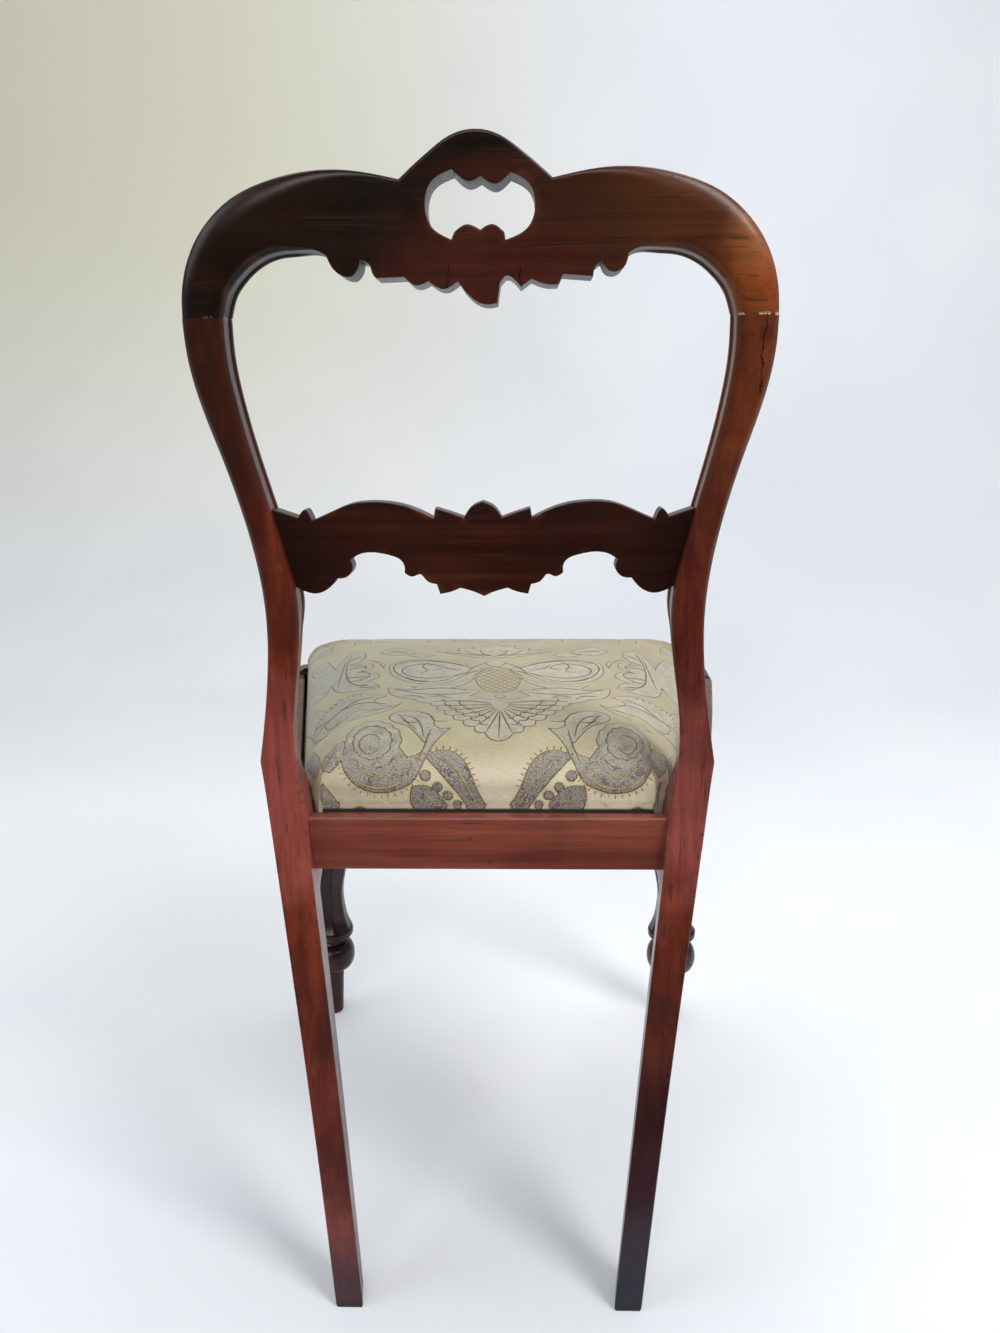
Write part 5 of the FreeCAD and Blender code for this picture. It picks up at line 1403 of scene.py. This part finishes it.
def damaskStitching(cloth, places, material):
    # each vein as a fine raised cord: a three-sided tube pressed onto the cloth
    tree = kdtree.KDTree(len(cloth))
    for number, (across, up) in enumerate(cloth.tolist()):
        tree.insert((across, up, 0), number)
    tree.balance()
    allPoints, quads, caps = [], [], []
    wide, tall, sunk, spacing, bluntness = 0.0006, 0.0004, 0.0002, 1.6, 0.12
    start = 0
    for knots in veins:
        length = np.linalg.norm(np.diff(knots, axis=0), axis=1).sum()
        curve = splineThrough(knots, max(4, int(length / spacing)))
        for side in (1, -1):
            if side < 0 and curve[:, 0].max() < 1:
                continue
            spots = np.stack([patternAxis(curve[:, 1]) + side * curve[:, 0], curve[:, 1]], axis=1) / 1000
            points, normals = nearbySurface(tree, cloth, places, spots)
            way = np.gradient(points, axis=0)
            way /= np.linalg.norm(way, axis=1)[:, None]
            aside = np.cross(normals, way)
            turn = np.linspace(bluntness, math.pi - bluntness, len(points))
            taper = np.sqrt(np.clip(np.sin(turn), 0, 1))[:, None]
            rings = np.stack([points - aside * wide * taper - normals * sunk, points + normals * tall * taper,
                              points + aside * wide * taper - normals * sunk], axis=1)
            allPoints.append(rings.reshape(-1, 3))
            quads.append(ringFaces(len(points), 3, flip=True, start=start))
            last = start + 3 * (len(points) - 1)
            caps += [[start, start + 1, start + 2], [last + 2, last + 1, last]]
            start += 3 * len(points)
    piece = addMesh("damaskStitching", np.vstack(allPoints), np.vstack(quads), triangles=caps, sharp=180)
    piece.data.materials.append(material)
    return piece


def outwardFaces(piece):
    # a closed piece's faces turned so that they all look outwards
    shell = bmesh.new()
    shell.from_mesh(piece.data)
    bmesh.ops.recalc_face_normals(shell, faces=shell.faces)
    shell.to_mesh(piece.data)
    shell.free()


def seatCushion(material, stitches):
    shares = crownShares()
    crown, wall = crownGrid(shares), seatWall(shares)
    crownCloth, wallCloth = clothPlaces(crown, wall, shares)
    crownPoints, wallPoints = seatPlace(crown), seatPlace(wall)
    crownMove, wallMove = puffedUp(crown, wall)
    crownPoints += crownMove
    wallPoints[:cushion["wallRows"]] += wallMove
    # the cloth drags a little between its tacks, and long creases run up from the hem
    cloth = np.vstack([crownCloth.reshape(-1, 2), wallCloth.reshape(-1, 2)])
    places = np.vstack([crownPoints.reshape(-1, 3), wallPoints.reshape(-1, 3)])
    shown = len(crown) ** 2 + cushion["wallRows"] * wall.shape[1]
    across, up = cloth[:, 0], cloth[:, 1]
    low = smoothStep(up, 0.0, -0.03)
    drag = 0.00035 * np.sin(across * 190 + 1.3) + 0.0002 * np.sin(across * 430)
    for crease, wide in cushion["creases"]:
        drag += 0.0008 * np.exp(-((across - crease - 0.06 * (up + 0.03)) / wide) ** 2)
    behind = np.abs(places[:, 1] - (rearY - cushion["lipRear"] - cushion["rearGap"])) < 0.012
    drag = drag * low - 0.0022 * smoothStep(up, -0.028, -0.04)
    places[:, 1] += np.where(behind & (np.arange(len(places)) < shown), drag, 0)
    quads, caps = cushionFaces(len(shares), len(wall))
    piece = addMesh("seatCushion", places, quads, polygons=caps, sharp=60)
    outwardFaces(piece)
    edge, tone, net = damaskFields(cloth)
    for name, values in (("edge", edge), ("tone", tone), ("net", net), ("clothAcross", across), ("clothUp", up)):
        addAttribute(piece, name, values)
    piece.data.materials.append(material)
    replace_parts(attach(piece, "seat"), "seat_cover", "seat_stuffing")
    sewn = damaskStitching(cloth[:shown], places[:shown], stitches)
    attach(sewn, "seat")
    return piece


# Damask: a satin ground with fine level ribs, pale to dark raised motifs of mottled chenille where
# edge is above zero, thin outlines where it is near zero, and a trellis of crossing lines. Painted
# shade darkens the sitter's left side, and a painted shadow line runs along the hem.
def damaskCloth():
    material = newTree("damaskCloth")
    across, up = attribute("clothAcross"), attribute("clothUp")
    edge, tone, net = attribute("edge"), attribute("tone"), attribute("net")
    flat = addNode("CombineXYZ", in0=across, in1=up, in2=0.0).outputs[0]
    low = remap(up, 0.085, -0.01)
    # painted shade: grows towards the sitter's left, where the cloth is made greener and darker
    leftShade = remap(across, -0.06, 0.15)
    # ground
    ground = ramp(noise(flat, 18.0, 2.0), (0.35, srgb(162, 151, 119)), (0.65, srgb(178, 168, 137)))
    ground = mixColours(remap(up, 0.02, -0.02), ground, srgb(208, 197, 174))
    # the ground takes the painted shade on the sitter's left
    ground = mixColours(times(leftShade, 0.55), ground, srgb(158, 156, 128))
    rib = noise(stretched(flat, (160, 1500, 1)), 1.0, 2.0, 0.6)
    # motifs
    mottle = noise(stretched(flat, (560, 800, 1)), 1.0, 4.0, 0.75)
    patch = noise(flat, 90.0, 3.0, 0.6)
    # the pale motifs take the same painted shade on the sitter's left
    pale = mixColours(leftShade, srgb(182, 176, 154), srgb(158, 160, 144))
    deep = mixColours(remap(patch, 0.4, 0.62), srgb(128, 122, 112), srgb(170, 166, 154))
    depth = maths("MAXIMUM", times(low, tone), times(tone, 0.25))
    specks = plus(mottle, offCentre(patch, 0.7))
    speckShare = times(remap(specks, 0.48, 0.6), plus(0.34, times(depth, 0.56)))
    speckColour = mixColours(low, srgb(124, 110, 92), srgb(70, 50, 54))
    fill = mixColours(speckShare, mixColours(depth, pale, deep), speckColour)
    fill = mixColours(times(remap(specks, 0.44, 0.3), 0.4), fill, srgb(204, 200, 184))
    shaken = plus(edge, offCentre(noise(flat, 700.0, 2.0), 0.8))
    inside = times(remap(shaken, -0.15, 0.15), minus(1.0, net))
    colour = mixColours(inside, ground, fill)
    # trellis: two sets of slanting lines
    lines = [awayFrom(maths("FRACT", maths("DIVIDE", plus(across, times(up, slant)), 0.0082)), 0.5)
             for slant in (0.8, -0.8)]
    trellis = times(remap(maths("MINIMUM", *lines), 0.13, 0.07), net)
    colour = mixColours(times(trellis, 0.85), colour, srgb(112, 90, 62))
    # outlines, brown above and gold with little stitches below
    thin = remap(maths("ABSOLUTE", shaken), 0.8, 0.35)
    colour = mixColours(times(thin, 0.85), colour, mixColours(low, srgb(104, 84, 58), srgb(76, 56, 50)))
    stitch = noise(stretched(flat, (900, 900, 1), (0, 0, 0.6)), 1.0, 1.0)
    comb = times(remap(maths("ABSOLUTE", plus(shaken, 0.9)), 1.1, 0.7), remap(stitch, 0.46, 0.56))
    gold = times(comb, remap(times(low, tone), 0.25, 0.6))
    colour = mixColours(times(gold, 0.75), colour, srgb(206, 184, 122))
    # painted shadow: a near black line along the hem, where the cushion meets the rear rail's lip
    colour = mixColours(remap(up, -0.0372, -0.0395), colour, srgb(24, 18, 15))
    colour = mixColours(1.0, colour, grey(remap(rib, 0.3, 0.7, 0.88, 1.1)), "MULTIPLY")
    shader = addNode("BsdfPrincipled", Base_Color=colour, Roughness=betweenSockets(inside, 0.66, 0.85),
                     Sheen_Weight=0.25, Sheen_Roughness=0.5)
    height = remap(edge, -0.5, 1.2)
    for share, part in ((0.9, times(mottle, inside)), (0.25, rib), (0.5, maths("MAXIMUM", gold, trellis))):
        height = plus(height, times(part, share))
    bumped(shader, height, 0.7, 0.0005)
    return finished(material, shader)


def betweenSockets(share, low, high):
    return plus(times(share, high - low), low)


# Twisted cord of the pattern: brown and gold threads by fine slanted stripes of noise.
def stitchThread():
    material = newTree("stitchThread")
    place = objectPlace()
    twist = noise(stretched(place, (1400, 1400, 500), (0, 0, 0.7)), 1.0, 2.0)
    height = addNode("SeparateXYZ", in0=place).outputs[2]
    golden = remap(height, 0.463, 0.425)
    brown = ramp(twist, (0.35, srgb(88, 68, 46)), (0.65, srgb(136, 114, 78)))
    gold = ramp(twist, (0.35, srgb(150, 124, 70)), (0.65, srgb(214, 190, 124)))
    shader = addNode("BsdfPrincipled", Base_Color=mixColours(golden, brown, gold), Roughness=0.6)
    bumped(shader, twist, 0.5, 0.0003)
    return finished(material, shader)


# ---- Studio, light and camera
camera = {
    "place": (-0.0315, 0.9599, 0.7290),
    "yaw": 0.02509, "pitch": 0.24207, "roll": -0.00686,
    "focal": 1050.0,         # in pixels of the 1000 x 1333 photograph
    "size": (1000, 1333),
}


def addCamera():
    yaw, pitch, roll = camera["yaw"], camera["pitch"], camera["roll"]
    forward = Vector((math.sin(yaw) * math.cos(pitch), -math.cos(yaw) * math.cos(pitch), -math.sin(pitch)))
    right = forward.cross(Vector((0, 0, 1))).normalized()
    up = right.cross(forward)
    tiltedRight = math.cos(roll) * right + math.sin(roll) * up
    tiltedUp = math.cos(roll) * up - math.sin(roll) * right
    data = bpy.data.cameras.new("camera")
    data.lens = camera["focal"] / max(camera["size"]) * data.sensor_width
    data.clip_start = 0.01
    data.clip_end = 50
    item = bpy.data.objects.new("camera", data)
    turn = Matrix((tiltedRight, tiltedUp, -forward)).transposed()
    item.matrix_world = Matrix.Translation(camera["place"]) @ turn.to_4x4()
    bpy.context.scene.collection.objects.link(item)
    bpy.context.scene.camera = item


studio = {
    "wall": 3.2,             # how far off the paper stands upright, in front of the chair
    "rise": 1.6,             # radius of its rise from the floor
    "halfWide": 18.0,
    "paperEnd": 0.46,        # where the paper ends, on the camera's side
    "glow": 0.24,            # what the camera alone sees on the paper, so that it comes out pale
}


# Paper sweep: pale with faint soft clouds and a few specks; past its end lies a dark wooden floor.
# The camera alone sees it a little brighter, the more so towards its right and upwards as painted light, and its
# shadows stay; a painted warm light tints its upper left.
def paperMaterial():
    material = newTree("paper")
    place = objectPlace()
    soft = noise(place, 0.7, 3.0, 0.6)
    colour = ramp(soft, (0.3, srgb(214, 219, 226)), (0.7, srgb(230, 233, 237)))
    marks = remap(noise(place, 55.0, 6.0, 0.75), 0.74, 0.82)
    colour = mixColours(times(marks, 0.12), colour, srgb(190, 188, 186))
    parts = addNode("SeparateXYZ", in0=place)
    past = remap(parts.outputs[1], studio["paperEnd"], studio["paperEnd"] + 0.04)
    boards = ramp(noise(stretched(place, (14, 1, 1)), 3.0, 4.0), (0.35, srgb(34, 24, 19)), (0.65, srgb(58, 42, 33)))
    colour = mixColours(past, colour, boards)
    path = addNode("LightPath")
    glow = remap(parts.outputs[1], 0.4, -0.5, studio["glow"] * 0.5, studio["glow"])
    # painted light: the paper glows more towards the camera's right and higher up
    lift = times(remap(parts.outputs[0], 0.5, -1.2), remap(parts.outputs[2], -0.4, 1.6, 0.07, 0.2))
    seen = times(path.outputs["Is Camera Ray"], plus(glow, lift))
    # painted warm light over the upper left of the paper, as the camera sees it
    corner = times(remap(parts.outputs[2], -0.2, 1.6), remap(parts.outputs[0], -0.6, 1.2))
    colour = mixColours(times(corner, 0.8), colour, srgb(214, 212, 186))
    shader = addNode("BsdfPrincipled", Base_Color=colour, Roughness=0.85,
                     Emission_Color=colour, Emission_Strength=seen)
    return finished(material, shader)


def addStudio():
    # a paper sweep: flat floor, then a quarter-round rise to an upright wall, in front of the camera
    turn = np.linspace(0, quarterTurn, 24)
    radius = studio["rise"]
    rise = [(-studio["wall"] + radius - radius * math.sin(a), radius - radius * math.cos(a)) for a in turn]
    profile = np.array([(6.0, 0.0), *rise, (-studio["wall"], 6.0)])
    across = np.linspace(-studio["halfWide"], studio["halfWide"], 7)
    points = np.array([[(x, y, z) for y, z in profile] for x in across])
    sweep = addMesh("paperSweep", points.reshape(-1, 3), ringFaces(len(across), len(profile), closed=False))
    sweep.data.materials.append(paperMaterial())


def addLamp(name, place, aim, size, watts, colour):
    data = bpy.data.lights.new(name, "AREA")
    data.shape = "RECTANGLE"
    data.size, data.size_y = size
    data.energy = watts
    data.color = colour
    lamp = bpy.data.objects.new(name, data)
    lamp.location = place
    lamp.rotation_mode = "QUATERNION"
    lamp.rotation_quaternion = (Vector(aim) - Vector(place)).to_track_quat("-Z", "Y")
    bpy.context.scene.collection.objects.link(lamp)


def addLight():
    addLamp("windowLamp", (-1.6, 1.35, 2.15), (0, 0, 0.5), (1.0, 1.6), 52, (1.0, 0.98, 0.95))
    addLamp("fillLamp", (2.2, 0.9, 1.7), (0, 0, 0.4), (1.6, 1.6), 16, (0.93, 0.96, 1.0))
    addLamp("roomLamp", (0.5, 3.6, 1.9), (0, 0, 0.4), (2.6, 1.6), 60, (1.0, 0.99, 0.97))
    addLamp("paperLamp", (0, -1.1, 3.6), (0, -1.4, 0), (3.0, 2.0), 42, (1.0, 1.0, 1.0))
    world = bpy.data.worlds.new("studioAir")
    world.use_nodes = True
    work["tree"] = world.node_tree
    work["tree"].nodes.clear()
    # pale behind the chair, dimmer towards the room that the polish reflects
    way = addNode("SeparateXYZ", in0=addNode("TexCoord").outputs["Generated"])
    room = remap(way.outputs[1], -0.3, 0.6)
    colour = mixColours(room, srgb(225, 229, 236), srgb(50, 46, 44))
    background = addNode("Background", Color=colour, Strength=0.7)
    addNode("OutputWorld", in0=background.outputs[0])
    bpy.context.scene.world = world
    bpy.context.scene.view_settings.view_transform = "Standard"


# ---- Hidden parts
# Plain woven cloth: threads both ways from two stretched noises, the darker where they sink.
def wovenCloth(name, thread, light, dark):
    material = newTree(name)
    place = objectPlace()
    warp = noise(stretched(place, (thread, thread * 0.06, thread)), 1.0, 2.0, 0.6)
    weft = noise(stretched(place, (thread * 0.06, thread, thread)), 1.0, 2.0, 0.6)
    threads = maths("MAXIMUM", warp, weft)
    colour = ramp(threads, (0.42, dark), (0.66, light))
    shader = addNode("BsdfPrincipled", Base_Color=colour, Roughness=0.9)
    bumped(shader, threads, 0.6, 0.0004)
    return finished(material, shader)


# Old steel: grey metal, with brown rust where a rough noise is high.
def oldSteel():
    material = newTree("oldSteel")
    place = objectPlace()
    rough = noise(place, 320.0, 4.0, 0.65)
    rust = remap(rough, 0.5, 0.62)
    colour = mixColours(rust, srgb(128, 126, 122), srgb(92, 58, 38))
    shader = addNode("BsdfPrincipled", Base_Color=colour, Roughness=betweenSockets(rust, 0.35, 0.85),
                     Metallic=minus(1.0, rust))
    bumped(shader, rough, 0.4, 0.0002)
    return finished(material, shader)


# ---- Build everything
def dress(node, material):
    # a CAD node that keeps its shape gets its material
    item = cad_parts[node]
    item.data.materials.clear()
    item.data.materials.append(material)


darkCrack = (16, 8, 6)
crestWood = mahogany(
    "crestMahogany", "x", (14, 7, 3), (30, 15, 8), (54, 28, 15),
    grime=0.25, coat=0.26, coatRough=0.3, specular=0.2,
    zones=[
        (axisMask("x", -0.02, -0.16, 0.8), (98, 52, 26)),
        (spotMask((-0.01, 0.235, 0.795), 0.1, 0.75), (82, 34, 24)),
        (spotMask((-0.19, 0.225, 0.8), 0.055, 0.85), (146, 72, 30)),
        # painted highlight: a pale sheen of the window light on the right shoulder's polish
        (spotMask((-0.184, 0.24, 0.833), 0.034, 0.5), (158, 102, 66)),
        (spotMask((0.13, 0.235, 0.86), 0.06, 0.5), (46, 24, 12)),
    ],
    marks=[
        (bandMask(0.7893, 0.0005, 0.5, 0.56), (150, 130, 98)),
        (crackMask(0.02, 0.79, 0.823, 0.0005), darkCrack),
        (crackMask(-0.028, 0.795, 0.82, 0.0005), darkCrack),
    ],
)


def postWood(name, zones, marks):
    # both posts get a painted pinkish reflection at the knee, given with their zones, and are black at the very
    # foot
    return mahogany(
        name, "z", (62, 22, 13), (104, 40, 24), (142, 62, 34), zones=zones,
        marks=[*marks, (axisMask("z", 0.008, 0.002, 0.8), (20, 14, 14))],
        grime=0.55, dents=1.0, specular=0.3, worn=0.7, wornColour=(64, 30, 24),
    )


def kneeReflectionMask(side):
    # a soft round spot on each post's knee where a painted pinkish reflection on the polish goes
    return spotMask((side * 0.172, 0.165, 0.43), 0.13, 0.7)


# The left post is dark above the waist, the right one orange there, with a painted dark blue shadow at its foot
leftWood = postWood(
    "leftPostMahogany",
    [(axisMask("z", 0.60, 0.74, 0.85), (46, 22, 13)), (kneeReflectionMask(1), (156, 80, 74)),
     (axisMask("z", 0.32, 0.11, 0.65), (104, 44, 44)), (axisMask("z", 0.07, 0.015, 0.85), (46, 26, 36))],
    [(bandMask(0.7886, 0.0004, 0.46, 0.52), (120, 102, 78))],
)
rightWood = postWood(
    "rightPostMahogany",
    [(axisMask("z", 0.60, 0.74, 0.85), (142, 70, 34)), (axisMask("z", 0.74, 0.66, 0.3), (84, 36, 22)),
     (axisMask("z", 0.47, 0.52, 0.3), (58, 24, 24)), (kneeReflectionMask(-1), (156, 80, 74)),
     # painted shadow: dark blue over the right post's foot
     (axisMask("z", 0.32, 0.11, 0.93), (44, 16, 26)), (axisMask("z", 0.11, 0.015, 0.85), (8, 22, 38))],
    [(bandMask(0.7886, 0.0009, 0.46, 0.52), (196, 176, 138)),
     (crackMask(-0.193, 0.735, 0.79, 0.0007), (26, 12, 8))],
)
midWood = mahogany(
    "midMahogany", "x", (32, 12, 7), (56, 24, 15), (80, 38, 24), specular=0.2, coat=0.15,
    zones=[(axisMask("x", 0.09, 0.14, 0.7), (28, 11, 8)), (axisMask("x", -0.09, -0.14, 0.7), (30, 12, 10))],
)
railWood = mahogany("railMahogany", "x", (92, 40, 30), (124, 60, 48), (148, 78, 60), grime=0.4,
                    zones=[(axisMask("x", 0.11, 0.165, 0.4), (84, 34, 32))])
sideWood = mahogany("sideRailMahogany", "y", (56, 22, 16), (84, 38, 26), (110, 54, 36))
legWood = mahogany("legMahogany", "z", (24, 10, 11), (48, 19, 19), (84, 34, 28),
                   worn=0.8, wornColour=(122, 52, 36), coat=0.25, gloss=0.24, specular=0.3)
beech = mahogany("beech", "x", (150, 112, 74), (178, 138, 96), (196, 158, 116), coat=0.0, gloss=0.5, matt=0.7,
                 poreColour=(120, 84, 54), grimeColour=(96, 70, 50))
steel = oldSteel()


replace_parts(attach(backPost("leftBackPost", 1, leftWood), "chair"), "left_back_post")
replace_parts(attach(backPost("rightBackPost", -1, rightWood), "chair"), "right_back_post")
print("Back posts made")
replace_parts(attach(crestRail(crestWood), "chair"), "crest_rail")
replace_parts(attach(midRail(midWood), "chair"), "mid_rail")
print("Crest and mid rail made")
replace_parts(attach(rearRail(railWood), "chair"), "rear_seat_rail")
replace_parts(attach(sideRail("leftSideRail", 1, sideWood), "chair"), "left_seat_rail")
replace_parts(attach(sideRail("rightSideRail", -1, sideWood), "chair"), "right_seat_rail")
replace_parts(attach(frontRail(railWood), "chair"), "front_seat_rail")
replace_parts(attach(frontLeg("leftFrontLeg", 1, legWood), "chair"), "left_front_leg")
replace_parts(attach(frontLeg("rightFrontLeg", -1, legWood), "chair"), "right_front_leg")
print("Rails and front legs made")
seatCushion(damaskCloth(), stitchThread())
print("Cushion made")
for material, names in (
    (beech, ("seat_rear_bar", "seat_front_bar", "seat_left_bar", "seat_right_bar", "rear_left_block",
             "rear_right_block", "front_left_block", "front_right_block", "crest_dowels", "seat_dowels")),
    (steel, ("block_screws", "dust_cloth_tacks")),
    (wovenCloth("juteWebbing", 900.0, srgb(176, 150, 108), srgb(112, 90, 60)), ("seat_webbing",)),
    (wovenCloth("hessian", 700.0, srgb(168, 142, 104), srgb(104, 84, 58)), ("base_cloth",)),
    (wovenCloth("dustCloth", 1400.0, srgb(56, 54, 54), srgb(30, 29, 30)), ("dust_cloth",)),
):
    for node in names:
        dress(node, material)
print("Hidden parts dressed")
addStudio()
addLight()
addCamera()
print("Studio ready")
